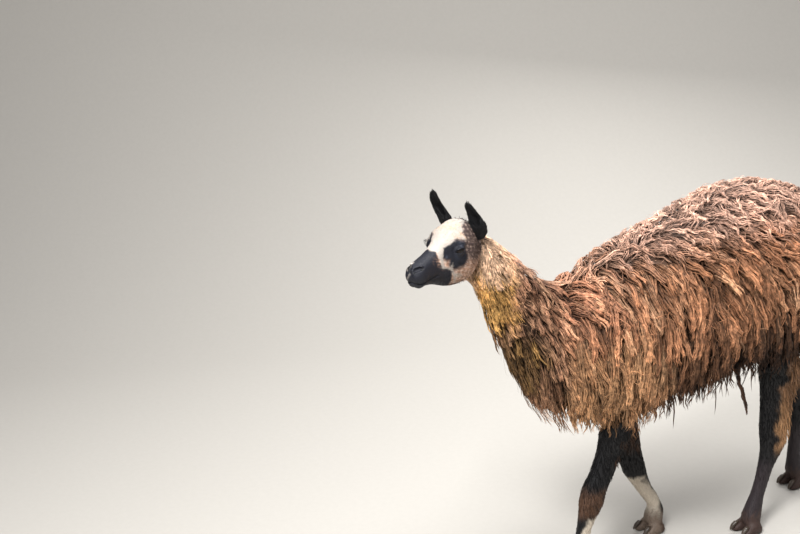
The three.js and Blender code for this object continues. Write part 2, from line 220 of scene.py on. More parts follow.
# %% Head frame
HEAD_YAW, HEAD_PITCH, HEAD_ROLL = math.radians(33.0), math.radians(-2.0), math.radians(-8.0)
EYE_AHEAD, EYE_BELOW, EYE_OUT = 0.098, 0.060, 0.046     # from the poll, in the head's axes
EYE_RADIUS = 0.0175


def middle(name):
    low, high = (np.array(corner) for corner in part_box(name))
    return (low + high) / 2.0


def head_axes():
    """Forward, left and up of the head, as unit vectors."""
    ahead = np.array([math.cos(HEAD_PITCH) * math.sin(HEAD_YAW),
                      -math.cos(HEAD_PITCH) * math.cos(HEAD_YAW),
                      -math.sin(HEAD_PITCH)])
    level = np.array([math.cos(HEAD_YAW), math.sin(HEAD_YAW), 0.0])
    lift = np.cross(ahead, level)
    left = level * math.cos(HEAD_ROLL) + lift * math.sin(HEAD_ROLL)
    up = lift * math.cos(HEAD_ROLL) - level * math.sin(HEAD_ROLL)
    return np.stack([ahead, left, up])


HEAD_AXES = head_axes()
POLL = (middle("eye_left") + middle("eye_right")) / 2.0 - (
    HEAD_AXES[0] * EYE_AHEAD - HEAD_AXES[2] * EYE_BELOW)


def in_head(places):
    """Places in the head's forward, left and up, in metres from the poll."""
    return (places - POLL) @ HEAD_AXES.T


def from_head(places):
    return np.asarray(places, float) @ HEAD_AXES + POLL


print("poll at", POLL.round(4), " left eye in the head's axes", in_head(middle("eye_left")).round(4))

# %% [markdown]
# ## The skin under the coat
# Under its wool a llama is slimmer than it looks: the fleece of the flank is 46 mm deep.
# One closed skin stands for all the flesh, so no seam shows at the neck or the legs. It lies
# inside the frame's solids by the coat's depth, which is told here as a function of place.

# %% How deep the coat is
BODY = ["trunk", "neck", "head", "tail"]
EARS = ["ear_left", "ear_right"]
LEGS = ["foreleg_left", "foreleg_right", "hindleg_left", "hindleg_right"]
FACE_COAT, NAPE_COAT, NECK_COAT = 0.0018, 0.014, 0.036
FLANK_COAT, BACK_COAT, HEM_COAT, TAIL_COAT = 0.046, 0.032, 0.080, 0.030
CHEST_Y, RUMP_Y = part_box("trunk")[0][1] + 0.12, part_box("tail")[0][1]
MIDLINE = (middle("foreleg_left")[0] + middle("foreleg_right")[0]) / 2.0


def behind_head(x, y, z):
    """How far a place lies behind the plane where the skull joins the neck."""
    ahead, _, up = HEAD_AXES
    a = (x - POLL[0]) * ahead[0] + (y - POLL[1]) * ahead[1] + (z - POLL[2]) * ahead[2]
    h = (x - POLL[0]) * up[0] + (y - POLL[1]) * up[1] + (z - POLL[2]) * up[2]
    return -(0.968 * (a + 0.038) + 0.252 * (h + 0.026))


def coat_depth(x, y, z):
    """The depth of wool or hair between the frame's solids and the skin."""
    back = behind_head(x, y, z)
    neck = FACE_COAT + (NAPE_COAT - FACE_COAT) * smooth(back, 0.0, 0.06)
    neck = neck + (NECK_COAT - NAPE_COAT) * smooth(back, 0.05, 0.25)
    trunk = FLANK_COAT + (BACK_COAT - FLANK_COAT) * smooth(z, 1.02, 1.16)
    trunk = trunk + (HEM_COAT - FLANK_COAT) * smooth(-z, -0.78, -0.68)
    trunk = trunk + (TAIL_COAT - trunk) * smooth(y, RUMP_Y, RUMP_Y + 0.05)
    return neck + (trunk - neck) * smooth(y, CHEST_Y - 0.1, CHEST_Y + 0.06)


print("midline at x", round(MIDLINE, 4), " chest", round(CHEST_Y, 3), " rump", round(RUMP_Y, 3))

# %% Body and legs
BODY_STEP, LEG_STEP, HEAD_STEP = 0.012, 0.005, 0.0021
COAT_STEP = 0.008
LOW, HIGH = np.array([-0.34, -1.0, -0.04]), np.array([0.34, 0.98, 1.52])
OUTER = distances(BODY, COAT_STEP, 0.10, LOW, HIGH)                   # where the wool ends


def body_skin():
    """The trunk, neck and tail without their wool."""
    field = distances(BODY, BODY_STEP, 0.12, LOW, HIGH)
    x, y, z = field.points()
    values = blur(field.values, 1.2) + coat_depth(x, y, z)
    back = behind_head(x, y, z)
    values = values + 0.005 * smooth(-back, -0.035, -0.005)           # dives under the head's skin
    values = np.maximum(values, -back)
    return Field(blur(values, 0.8), field.low, field.step)


def capsule(x, y, z, start, end, radius_start, radius_end):
    """Distance to a rounded rod between two points."""
    along = np.asarray(end) - np.asarray(start)
    t = ((x - start[0]) * along[0] + (y - start[1]) * along[1] + (z - start[2]) * along[2])
    t = np.clip(t / (along @ along), 0.0, 1.0)
    gap = np.sqrt((x - start[0] - along[0] * t) ** 2 + (y - start[1] - along[1] * t) ** 2
                  + (z - start[2] - along[2] * t) ** 2)
    return gap - (radius_start + (radius_end - radius_start) * t)


def leg_skin(name):
    """A leg, with its upper end carried up into the trunk where the wool hides it."""
    low, high = (np.array(corner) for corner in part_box(name))
    corners, _ = node_mesh([name])
    thigh = corners[corners[:, 2] > high[2] - 0.12].mean(axis=0)
    thigh[2] = high[2] - 0.05
    inside = np.array([MIDLINE + (thigh[0] - MIDLINE) * 0.95, thigh[1], 0.86])
    field = distances([name], LEG_STEP, 0.05, low - 0.03, np.append(high[:2] + 0.03, 0.95))
    x, y, z = field.points()
    depth = 0.0004 + 0.0021 * smooth(z, 0.05, 0.10) + 0.0085 * smooth(z, 0.36, 0.50)
    leg = blur(field.values, 1.0) + depth
    width = 0.036 if name.startswith("fore") else 0.055
    return Field(join(leg, capsule(x, y, z, thigh, inside, width, width + 0.02), 0.03),
                 field.low, field.step)


body_field = body_skin()
leg_fields = {name: leg_skin(name) for name in LEGS}
print("body grid", body_field.values.shape, " outer grid", OUTER.values.shape)

# %% [markdown]
# ## The head
# The skull's shape comes from the frame. The skin adds what the frame leaves plain: the lids as
# a thin shell round each eyeball with an almond opening, the brow over it, the rims of the slit
# nostrils, the split lip, the line of the mouth and the folds at its corner.

# %% Head sculpting
LID = 0.0031                   # thickness of an eyelid
LID_DIP = 0.22                 # how much the opening falls towards its front corner
EYE_GAP = 0.0003               # between the eyeball and the lid
OPENING = (0.0345, 0.0124)     # length and height of the opening between the lids
GAZE = {side: np.array([0.42, 0.90 * side, 0.08]) for side in (1, -1)}
GAZE = {side: way / np.linalg.norm(way) for side, way in GAZE.items()}
SWELLS = [                     # ahead, out, up, reach, by how much: soft rises and hollows, mm
    (112, 49, -35, 15, 4.6),   # brow, over the front of the eye
    (88, 58, -36, 14, 3.4),    # brow, over the back of the eye
    (124, 42, -80, 13, 1.8),   # fold under the eye
    (100, 52, -88, 14, 1.6),   # fold under the back of the eye
    (146, 36, -62, 13, -2.6),  # hollow before the eye
    (64, 66, -96, 26, 2.5),    # cheek
    (180, 34, -100, 20, 2.0),  # root of the upper cheek teeth
    (150, 40, -150, 22, -2.0), # hollow of the jaw
    (268, 21, -74, 10, 4.6),   # wing of the nostril
    (254, 20, -66, 8, -2.6),   # groove over the wing
    (270, 24, -96, 10, 2.6),   # lower rim of the nostril
    (279, 12, -112, 14, 3.4),  # upper lip, each side of the split
    (288, 0, -104, 6, -4.0),   # split of the upper lip
    (287, 0, -116, 6, -4.0),
    (284, 0, -127, 6, -3.5),
    (250, 27, -116, 14, 2.4),  # side of the upper lip
    (262, 12, -150, 15, 3.6),  # lower lip and chin
    (214, 34, -117, 13, 2.2),  # flews
    (190, 36, -136, 10, 2.0),  # fold at the corner of the mouth
    (20, 30, 12, 26, 2.0),     # crown
]
GROOVES = {                    # ahead, out, up, in mm; pressed onto the skin once it has a shape
    "mouth": [(296, 0, -136), (288, 10, -136), (273, 25, -134), (255, 32, -132), (227, 37, -129),
              (204, 39, -125), (186, 42, -124)],
    "nostril": [(290, 7, -93), (282, 14, -88), (272, 22, -85), (259, 29, -82)],
}


def spread_out(a, s, h, at, reach):
    """A soft round hill of height 1 at a place given in millimetres."""
    near = (a - at[0] / 1000) ** 2 + (s - at[1] / 1000) ** 2 + (h - at[2] / 1000) ** 2
    return np.exp(-near / (reach / 1000) ** 2)


def pressed(path, field):
    """The points of a path, in mm on the head, moved onto the surface of a field."""
    places = from_head(np.array(path, float) / 1000.0)
    for _ in range(5):
        places = places - field.at(places)[:, None] * field.slope(places)
    return in_head(places) * 1000.0


def slit(a, s, h, path, width):
    """Distance to a thin groove that follows a few points, in millimetres."""
    nearest = None
    for start, end in zip(path[:-1], path[1:]):
        one = capsule(a, s, h, np.array(start) / 1000, np.array(end) / 1000, width, width)
        nearest = one if nearest is None else np.minimum(nearest, one)
    return nearest


def eye_axes(side):
    """An eye's centre, its gaze, the way along its opening and the way over it, in the head."""
    out = GAZE[side]
    long = np.cross(out, [0.0, 0.0, 1.0]) * side
    long = long / np.linalg.norm(long) + np.array([0.0, 0.0, -LID_DIP])
    long = long / np.linalg.norm(long)
    over = np.cross(long, out) * side
    over = over / np.linalg.norm(over)
    return (np.array([EYE_AHEAD, side * EYE_OUT, -EYE_BELOW]), out, long,
            over if over[2] > 0 else -over)


def eyelids(a, s, h, side):
    """The ball under the lids, the eyeball's socket and the almond opening, as distances."""
    centre, out, long, over = eye_axes(side)
    da, ds, dh = a - centre[0], s - centre[1], h - centre[2]
    along = da * long[0] + ds * long[1] + dh * long[2]
    high = da * over[0] + ds * over[1] + dh * over[2]
    depth = da * out[0] + ds * out[1] + dh * out[2]
    far = np.sqrt(da ** 2 + ds ** 2 + dh ** 2)
    half, tall = OPENING[0] / 2, OPENING[1] / 2
    round_ = (half ** 2 + tall ** 2) / (2 * tall)
    lens = np.maximum(np.hypot(along, high - (round_ - tall)),
                      np.hypot(along, high + (round_ - tall))) - round_
    return (far - EYE_RADIUS - LID, far - EYE_RADIUS - EYE_GAP,
            np.maximum(lens, -depth), along, high, depth)


def head_skin():
    """Head, ears and the start of the neck."""
    low, high = np.array([-0.05, -0.95, 1.12]), np.array([0.26, -0.54, 1.48])
    skull = distances(["head", "neck"], HEAD_STEP, 0.03, low, high)
    ears = distances(EARS, HEAD_STEP, 0.012, low, high)
    x, y, z = skull.points()
    here = [sum(axis[k] * (v - POLL[k]) for k, v in enumerate((x, y, z))) for axis in HEAD_AXES]
    a, s, h = here
    out = abs(s)
    back = behind_head(x, y, z)
    depth = coat_depth(x, y, z) + 0.005 * smooth(back, 0.01, 0.04)
    values = blur(skull.values, 2.4) + depth
    for at_a, at_s, at_h, reach, by in SWELLS:
        values = values - by / 1000 * spread_out(a, out, h, (at_a, at_s, at_h), reach)
    values = join(values, blur(ears.values, 0.9) + 0.0008, 0.008)
    for side in (1, -1):
        ball, socket, opening, along, high_, depth_ = eyelids(a, s, h, side)
        values = join(values, ball, 0.006)
        crease = abs(np.sqrt(along ** 2 + (high_ + 0.004) ** 2) - 0.0155)   # fold of the lid
        values = values + 0.0010 * np.exp(-(crease / 0.0014) ** 2) * (high_ > 0) * (depth_ > 0.006)
        values = carve(values, opening, 0.0012)
        values = np.maximum(values, -socket)
    form = Field(values, skull.low, skull.step)
    for title, path in GROOVES.items():
        GROOVES[title] = pressed(path, form)
    values = carve(values, slit(a, out, h, GROOVES["mouth"], 0.0030), 0.0016)
    values = carve(values, slit(a, out, h, GROOVES["nostril"], 0.0034), 0.002)
    opening = GROOVES["nostril"][1:3] - [1.0, 3.5, 0.0]                       # runs inwards
    values = carve(values, slit(a, out, h, opening, 0.0070), 0.0015)
    values = np.maximum(values, back - 0.05)
    return Field(values, skull.low, skull.step)


head_field = head_skin()
print("head grid", head_field.values.shape)

# %% [markdown]
# ## One closed mesh
# Body, legs and head are read from grids as fine as each needs: 12 mm under the wool, 5 mm on the
# legs, 2 mm on the face. Their ends run into each other under the hair, and a boolean union
# makes them one closed skin.

# %% Join the skin
SKIN_TRIANGLES = 185000


def mesh_object(name, corners, faces):
    """A mesh object from arrays, with its faces turned outwards."""
    faces = np.asarray(faces)
    first, second, third = (corners[faces[:, k]] for k in range(3))
    volume = np.einsum("ij,ij->i", first, np.cross(second, third)).sum()
    if volume < 0:
        faces = faces[:, ::-1]
    mesh = bpy.data.meshes.new(name)
    mesh.vertices.add(len(corners))
    mesh.vertices.foreach_set("co", np.ascontiguousarray(corners, np.float32).ravel())
    mesh.loops.add(faces.size)
    mesh.loops.foreach_set("vertex_index", np.ascontiguousarray(faces, np.int32).ravel())
    mesh.polygons.add(len(faces))
    mesh.polygons.foreach_set("loop_start", np.arange(len(faces), dtype=np.int32) * faces.shape[1])
    mesh.update(calc_edges=True)
    mesh.polygons.foreach_set("use_smooth", np.ones(len(faces), bool))
    return in_scene(name, mesh)


def finished(piece):
    """The piece's modifiers made real, and removed."""
    depsgraph = bpy.context.evaluated_depsgraph_get()
    made = bpy.data.meshes.new_from_object(piece.evaluated_get(depsgraph))
    piece.modifiers.clear()
    old, piece.data = piece.data, made
    bpy.data.meshes.remove(old)
    made.name = piece.name
    return piece


skin = mesh_object("skin", *surface(body_field))
fields = dict(leg_fields, head_piece=head_field)
for name, field in fields.items():
    extra = mesh_object(name + "_skin", *surface(field))
    union = skin.modifiers.new("join", "BOOLEAN")
    union.operation, union.solver, union.object = "UNION", "MANIFOLD", extra
    before = len(skin.data.polygons)
    finished(skin)
    print(name, "joined:", before, "+", len(extra.data.polygons), "->", len(skin.data.polygons))
    bpy.data.objects.remove(extra)
thin = skin.modifiers.new("thin", "DECIMATE")
thin.ratio = min(1.0, SKIN_TRIANGLES / (2.0 * len(skin.data.polygons)))
thin.use_collapse_triangulate = True
finished(skin)
skin.data.polygons.foreach_set("use_smooth", np.ones(len(skin.data.polygons), bool))
skin.data.calc_loop_triangles()
print("skin triangles", len(skin.data.loop_triangles))

# %% [markdown]
# ## Colours and markings
# The llama is piebald on the head and rusty brown behind it: black ears, a white blaze, a black
# muzzle and eye patches, grizzled cheeks, a golden throat, a dark chest, a rust fleece bleached
# by the sun, greyer along the spine, and black legs with pale socks in front. Some colour is
# painted light and shade: lighter on the spine, the croup and the shoulder, as light from above,
# darker at the hem under the belly and under the jaw, grey-blue highlights on the lids, and dark
# in the line of the mouth, the nostrils and the depth of the fleece. One function of place gives
# the colour, and both the skin and every lock are coloured by it, so they agree.

# %% Palette
def paint(code):
    """An sRGB hex colour as the linear red, green and blue that the renderer works in."""
    parts = np.array([int(code[k:k + 2], 16) / 255.0 for k in (1, 3, 5)])
    return np.where(parts <= 0.04045, parts / 12.92, ((parts + 0.055) / 1.055) ** 2.4)


RUST, RUST_DEEP, TAN = paint("#a67555"), paint("#5c3a26"), paint("#d3a682")
# The spine grey is partly the back's own bleached grey and partly painted light from above.
TOPLIT_SPINE_GREY, GOLD, GOLD_PALE = paint("#d8b09c"), paint("#cb9d5e"), paint("#e8c3a6")
# The croup colour is painted light from above; the shoulder colour is partly paler, pinker wool and partly
# painted light from above.
LIT_CROUP, LIT_SHOULDER = paint("#b67f5e"), paint("#b88164")
# The hem colour is partly the wool's own darker brown and partly painted shade under the belly.
NAPE, CHEST, HEM_BROWN_SHADED = paint("#a87d62"), paint("#5c4526"), paint("#4c3424")
THIGH, FORE_FRINGE = paint("#3b281d"), paint("#bf936a")
BLACK, BLUE_BLACK, WHITE = paint("#0d0c0e"), paint("#1b1c25"), paint("#b9afa5")
CHEEK, CHEEK_PALE, EYE_GREY = paint("#c49c84"), paint("#e8cdbb"), paint("#352c2f")
# A grey-blue painted highlight for the lids.
LID_HIGHLIGHT_GREY = paint("#4a4f5d")
SOCK, LEG_BROWN, FRINGE = paint("#d2c5b3"), paint("#5c4232"), paint("#b58a62")


def ripple(places, size, seed):
    """Soft random waves over space, about -1 to 1, with humps of the given size."""
    draw = np.random.default_rng(seed)
    total = 0.0
    for octave in range(3):
        for _ in range(3):
            way = draw.normal(size=3)
            way *= 2 * math.pi / (size * 1.4 * np.linalg.norm(way)) * 1.9 ** octave
            total = total + np.sin(places @ way + draw.uniform(0, 6.3)) * 0.55 ** octave
    return total / 3.0


def blend(colours, other, share):
    """Colours moved towards another colour (or other colours) by a share at each place."""
    share = np.asarray(share)[:, None]
    return colours * (1.0 - share) + other * share


def layered(places, base, layers):
    """One colour at every place, with others laid over it in turn, each by its own share."""
    colours = np.tile(base, (len(places), 1))
    for other, share in layers:
        colours = blend(colours, other, share)
    return colours


def trail(places, path, radii):
    """Distance in mm to a chain of balls joined up, each with its own radius."""
    nearest = np.full(len(places), 1e3)
    for (start, end), (r0, r1) in zip(zip(path[:-1], path[1:]), zip(radii[:-1], radii[1:])):
        start, along = np.array(start, float), np.array(end, float) - np.array(start, float)
        t = np.clip((places - start) @ along / (along @ along + 1e-9), 0, 1)
        gap = np.linalg.norm(places - start - t[:, None] * along, axis=1) - (r0 + (r1 - r0) * t)
        nearest = np.minimum(nearest, gap)
    return nearest


# Places on the face: ahead of the poll, out from the midline and up, in mm.
MUZZLE_EDGE = [(-45, 173), (-66, 187), (-82, 184), (-95, 171), (-106, 148), (-120, 131), (-150, 123),
               (-190, 112)]
BLAZE = ([(18, 0, 10), (55, 0, 8), (88, 0, -6), (118, 0, -22), (146, 0, -38), (166, 0, -48)],
         [19, 30, 44, 38, 27, 20])
BROW_BAND = ([(98, 34, -14), (82, 55, -24), (70, 60, -30)], [15, 7, 3])
CHEEK_STRIP = ([(166, 20, -50), (173, 31, -68), (170, 37, -86), (167, 38, -99)], [15, 9, 7, 5])
MOUTH_BRANCH = ([(168, 38, -100), (150, 44, -105), (136, 50, -113), (120, 54, -134), (101, 58, -141)],
                [5, 4, 5, 6, 9])
SPIKES = [([(135, 50, -108), (131, 51, -95)], [3.5, 1.5]),
          ([(118, 53, -140), (98, 42, -172)], [4, 2])]
EYE_PATCH = ([(143, 36, -60), (112, 52, -58), (100, 56, -84), (120, 50, -92)], [21, 30, 24, 20])


def face_colour(places):
    """Colours of the head, from places in its own axes."""
    mm = places * 1000.0 + 2.2 * np.stack([ripple(places, 0.02, k) for k in (1, 2, 3)], axis=1)
    a, out, h = mm[:, 0], abs(mm[:, 1]), mm[:, 2]
    folded = np.stack([a, out, h], axis=1)
    streaks = ripple(places * [0.5, 1.2, 0.8], 0.007, 4)
    behind = smooth(h, -112, -82) * smooth(-a, -92, -50)
    grizzle = 0.92 - 0.42 * smooth(streaks, 0.2, 0.8)
    edge = np.interp(-h, [-up for up, _ in MUZZLE_EDGE], [ahead for _, ahead in MUZZLE_EDGE])
    fleck = smooth(ripple(places, 0.005, 6), -0.1, 0.8) * smooth(-h, 60, 80) * smooth(h, -122, -108)
    layers = [(CHEEK_PALE, smooth(streaks, -0.1, 0.6) * 0.9),
              (RUST_DEEP, smooth(-streaks, 0.2, 0.9) * 0.6),
              (EYE_GREY, np.clip(behind + 0.5 * smooth(h, -90, -60), 0, 1) * grizzle),
              # Painted shadow: dark grey under the jaw.
              (EYE_GREY, smooth(-h, 158, 176) * 0.8),
              (BLUE_BLACK, smooth(-trail(folded, *EYE_PATCH), -16, 3)),
              (BLUE_BLACK, smooth(a - edge, -2.5, 2.5)),
              (CHEEK, fleck * 0.5 * smooth(edge + 34 - a, 0, 26) * smooth(a - edge, -2, 3))]
    # Painted highlights: grey-blue spots on the upper lid, on the lower lid and ahead of the eye.
    for spot, reach, share in (((96, 56, -38), 13, 0.4), ((112, 52, -76), 9, 0.3), ((150, 38, -72), 5, 0.6)):
        near = np.linalg.norm(folded - spot, axis=1) / reach
        layers.append((LID_HIGHLIGHT_GREY, np.exp(-near ** 2) * share))
    white = smooth(-trail(folded, *BLAZE), -3, 3)
    for path, radii in [BROW_BAND, CHEEK_STRIP, MOUTH_BRANCH] + SPIKES:
        white = np.maximum(white, smooth(-trail(folded, path, radii), -2.5, 2))
    white = np.maximum(white, smooth(-trail(mm, [(258, -14, -68), (277, -20, -89)], [5, 6]), -3, 2))
    white = np.maximum(white, smooth(-trail(mm, [(290, -5, -104), (284, -15, -120)], [2, 2]), -4, 2) * 0.4)
    beige = smooth(ripple(places, 0.018, 5), -0.2, 0.7) * smooth(a, 45, 75) * smooth(-a, -118, -95)
    mouth = trail(folded, GROOVES["mouth"], [1.6] * 7)
    nostril = trail(folded, GROOVES["nostril"], [3.4, 5.8, 5.8, 3.0])
    crown = smooth(-a, -16, 2) * smooth(h, -30, -6)
    layers += [(WHITE, white), (TAN, beige * white * 0.55),
               # Painted shade: the line of the mouth and the inside of the nostril are darkened.
               (BLACK * 0.6, smooth(-mouth, -2.0, 0.5) * 0.9),
               (BLACK * 0.4, smooth(-nostril, -1.6, 0.6)), (EYE_GREY, crown * 0.9)]
    return layered(places, CHEEK, layers)


def ear_colour(places):
    return np.tile(BLACK, (len(places), 1))


def neck_colour(places):
    """Golden at the throat, dark on the chest, reddish with dark streaks at the nape."""
    _, y, z = places.T
    wave, fine = ripple(places, 0.07, 11), ripple(places, 0.025, 12)
    gold = smooth(-y + 0.012 * wave, 0.520, 0.560) * smooth(z, 0.93, 1.00)
    dark = smooth(-z - 0.02 * wave, -0.985, -0.90) * smooth(-y, 0.40, 0.47)
    return layered(places, NAPE, [
        (RUST_DEEP, smooth(wave + 0.6 * fine, 0.2, 0.9) * 0.85),
        (TAN, smooth(-fine, 0.0, 0.8) * 0.6),
        # Greyer and lighter on top of the neck: its own grey and painted light from above.
        (TOPLIT_SPINE_GREY, smooth(z - 1.02 + (y + 0.3) * 0.55, 0.0, 0.06) * 0.25),
        (GOLD, gold),
        (GOLD_PALE, gold * smooth(z + 0.03 * fine, 1.13, 1.20) * 0.85),
        (CHEST, dark * 0.9),
        (GOLD, dark * smooth(fine, 0.3, 0.9) * 0.45)])


def above_back(y, z):
    """A height, less the rise of the back towards the rump."""
    return z - 0.10 * np.clip(y + 0.1, 0.0, 0.4)


def trunk_colour(places):
    """Rust, bleached in patches, greyer on the spine, paler over the shoulder and the forearm,
    dark on the thigh and along the hem between the legs. The spine, the croup and the shoulder are
    also painted lighter, as light from above, and the hem darker, as shade under the belly."""
    x, y, z = places.T
    wave, fine = ripple(places, 0.13, 21), ripple(places, 0.035, 22)
    shoulder = smooth(-y, 0.05, 0.28) * smooth(z + 0.02 * fine, 0.84, 0.98)
    croup = smooth(y, 0.15, 0.40) * smooth(z, 0.98, 1.10)
    spine = smooth(above_back(y, z) + 0.03 * fine, 1.05, 1.20)
    low = smooth(-z + 0.03 * fine, -0.88, -0.73)
    fore = smooth(-y + 0.05 * wave + 0.02 * fine, -0.02, 0.20)
    below = smooth(-z + 0.04 * fine + 0.02 * wave, -0.94, -0.74)
    thigh = smooth(-z + 0.02 * fine, -0.86, -0.76) * smooth(y + 0.02 * wave, 0.27, 0.33)
    thigh = thigh * smooth(-y + 0.02 * wave, -0.52, -0.46) * smooth(abs(x - MIDLINE), 0.12, 0.16)
    chest = smooth(-y, 0.33, 0.42) * smooth(-z, -0.92, -0.80)
    return layered(places, RUST, [
        # Shoulder: paler wool and painted light from above.
        (LIT_SHOULDER, shoulder * 0.8),
        (RUST_DEEP, smooth(wave, 0.1, 0.9) * 0.5),
        (RUST_DEEP, smooth(-fine, 0.2, 0.9) * 0.45),
        (TAN, smooth(fine, 0.05, 0.9) * 0.55),
        # Croup: painted light from above.
        (LIT_CROUP, croup * 0.7),
        # Spine: its own bleached grey, and painted light from above.
        (TOPLIT_SPINE_GREY, spine * 0.8),
        # Hem: darker brown wool and painted shade under the belly.
        (HEM_BROWN_SHADED, low * 0.92 * (1 - fore)),
        (FORE_FRINGE, below * 0.7 * fore),
        (THIGH, thigh * 0.95),
        (CHEST, chest * 0.8)])


def leg_colour(places, name):
    """Black above, with socks, a woolly knee and a pale rear fringe."""
    x, y, z = places.T
    wave, fine = ripple(places, 0.05, 31), ripple(places, 0.014, 32)
    foot = centre_line(name, z)
    rear = (y - foot[:, 1]) / 0.05
    if name.startswith("fore"):
        knee = smooth(-abs(z - 0.302 + 0.012 * wave), -0.075, -0.020) * name.endswith("left")
        sock = smooth(-z - 0.02 * wave, -0.262, -0.225)
        if name.endswith("left"):
            sock = sock * smooth(rear + 0.25 * wave + np.abs(x - foot[:, 0]) / 0.035, -0.15, 0.35)
        else:
            sock = sock * smooth(-rear + 0.3 * wave, -0.75, -0.25)
        layers = [(LEG_BROWN, knee * (0.95 - 0.5 * smooth(fine, 0.1, 0.8))),
                  (SOCK, sock * (0.9 - 0.5 * smooth(-z, -0.12, -0.07))),
                  (LEG_BROWN, smooth(-z + 0.02 * fine, -0.10, -0.06) * 0.6)]
        if name.endswith("right"):
            brown = smooth(z + 0.03 * wave, 0.34, 0.42) * smooth(-fine, -0.8, 0.4)
            layers.append((LEG_BROWN, brown * 0.85))
    else:
        tawny = smooth(rear + 0.20 * fine, -0.35, 0.35) * smooth(z, 0.27, 0.34)
        fringe = layered(places, FRINGE, [(LEG_BROWN * 1.4, smooth(z, 0.40, 0.58) * 0.7)])
        layers = [(fringe, tawny * (0.95 - 0.35 * smooth(fine, 0.3, 0.9))),
                  (EYE_GREY, smooth(-z, -0.30, -0.22) * 0.7),
                  (LEG_BROWN, smooth(-z + 0.02 * fine, -0.10, -0.05) * 0.35)]
    return layered(places, BLACK, layers)


# %% Where each place belongs
def centre_line(name, z):
    """The middle of a leg at given heights."""
    if name not in centre_lines:
        corners, _ = node_mesh([name])
        levels = np.arange(0.02, corners[:, 2].max(), 0.03)
        rows = [corners[abs(corners[:, 2] - level) < 0.035].mean(axis=0) for level in levels]
        centre_lines[name] = levels, np.array(rows)
    levels, rows = centre_lines[name]
    return np.stack([np.interp(z, levels, rows[:, k]) for k in range(3)], axis=1)


centre_lines = {}
EAR_SHAPE = distances(EARS, 0.003, 0.02, np.array([-0.05, -0.80, 1.28]), np.array([0.18, -0.56, 1.50]))


def regions(places):
    """For each place, the name of the part of the body that it belongs to."""
    which = np.full(len(places), "trunk", dtype="<U16")
    x, y, z = places.T
    back = behind_head(x, y, z)
    which[(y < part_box("trunk")[0][1] + 0.10) & (z > 0.74)] = "neck"
    which[back < 0.0] = "head"
    which[(EAR_SHAPE.at(places) < 0.0035) & (back < 0.045)] = "ear"
    for name in LEGS:
        low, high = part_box(name)
        inside = (z < high[2] - 0.01) & (x > low[0] - 0.02) & (x < high[0] + 0.02)
        inside = inside & (y > low[1] - 0.03) & (y < high[1] + 0.03)
        line = centre_line(name, z)
        reach = 0.055 + 0.05 * smooth(z, 0.35, 0.6)
        which[inside & (np.hypot(x - line[:, 0], y - line[:, 1]) < reach + 0.03)] = name
    return which


def pelt(places, which=None):
    """The colour of skin or hair rooted at each place."""
    which = regions(places) if which is None else which
    colour = trunk_colour(places)
    parts = {"neck": neck_colour, "ear": ear_colour}
    for name, colouring in parts.items():
        colour[which == name] = colouring(places[which == name])
    colour[which == "head"] = face_colour(in_head(places[which == "head"]))
    for name in LEGS:
        colour[which == name] = leg_colour(places[which == name], name)
    seam = smooth(places[:, 1], CHEST_Y - 0.09, CHEST_Y + 0.01)            # neck into trunk
    mix = (which == "neck") | (which == "trunk")
    colour[mix] = blend(neck_colour(places[mix]), trunk_colour(places[mix]), seam[mix])
    return np.clip(colour, 0.003, 0.95)

# %% [markdown]
# ## How a lock of wool is made
# A lock rises from the skin, turns over and hangs, so its outer half lies along the fleece and
# its tip rests on the locks below, like a shingle. Blender's own particle hair could do this, but
# the coat has to leave the program as closed meshes. So every lock is a path that is stepped
# through the fleece, and each path carries a few thin three-sided blades that crimp together. The
# blades are closed, made as arrays, with few faces each because there are thousands.

# %% Roots on the skin
SKIN_POINTS, SKIN_FACES = read_mesh(skin.data)
SKIN_POINTS = SKIN_POINTS.astype(float)
first, second, third = (SKIN_POINTS[SKIN_FACES[:, k]] for k in range(3))
cross = np.cross(second - first, third - first)
FACE_AREA = np.linalg.norm(cross, axis=1) / 2.0
FACE_NORMAL = cross / (np.linalg.norm(cross, axis=1, keepdims=True) + 1e-12)
FACE_MIDDLE = (first + second + third) / 3.0
FACE_REGION = regions(FACE_MIDDLE)
FACE_BEHIND = behind_head(*FACE_MIDDLE.T)
CELL_KEYS = [73856093, 19349663, 83492791]      # large primes: cells hardly ever share a number


def sow(chosen, spacing, draw):
    """Places about one spacing apart on the chosen faces of the skin, with the way out of it."""
    share = np.where(chosen, FACE_AREA, 0.0)
    total = share.sum()
    count = int(total / spacing ** 2 * 3.0)
    face = draw.choice(len(share), size=count, p=share / total)
    u, v = draw.random((2, count, 1))
    flip = u + v > 1.0
    u, v = np.where(flip, 1.0 - u, u), np.where(flip, 1.0 - v, v)
    one, two, three = (SKIN_POINTS[SKIN_FACES[face, k]] for k in range(3))
    places = one + u * (two - one) + v * (three - one)
    cell = np.floor(places / spacing).astype(np.int64)
    _, keep = np.unique(cell @ CELL_KEYS, return_index=True)
    keep = np.sort(keep)
    return places[keep], FACE_NORMAL[face[keep]]


def unit(vectors):
    return vectors / (np.linalg.norm(vectors, axis=-1, keepdims=True) + 1e-12)

# %% The way the hair lies
DOWN, REAR = np.array([0.0, 0.0, -1.0]), np.array([0.0, 1.0, 0.0])
FREE_FROM, FREE_BELOW = 0.74, 0.62      # heights between which a lock leaves the form and hangs
FREE_TOP = 0.95                         # no lock hangs free above this, as under the throat
SETTLED = 0.72                          # share of a lock at which it has reached its layer
TIP_FROM, TIP = 0.78, 0.22              # where the tip starts to turn in, and its share
EASE = 0.022                            # nearer to its layer than this, a lock rises more slowly
ROOTED = 0.3                            # share of a lock that is never cut short


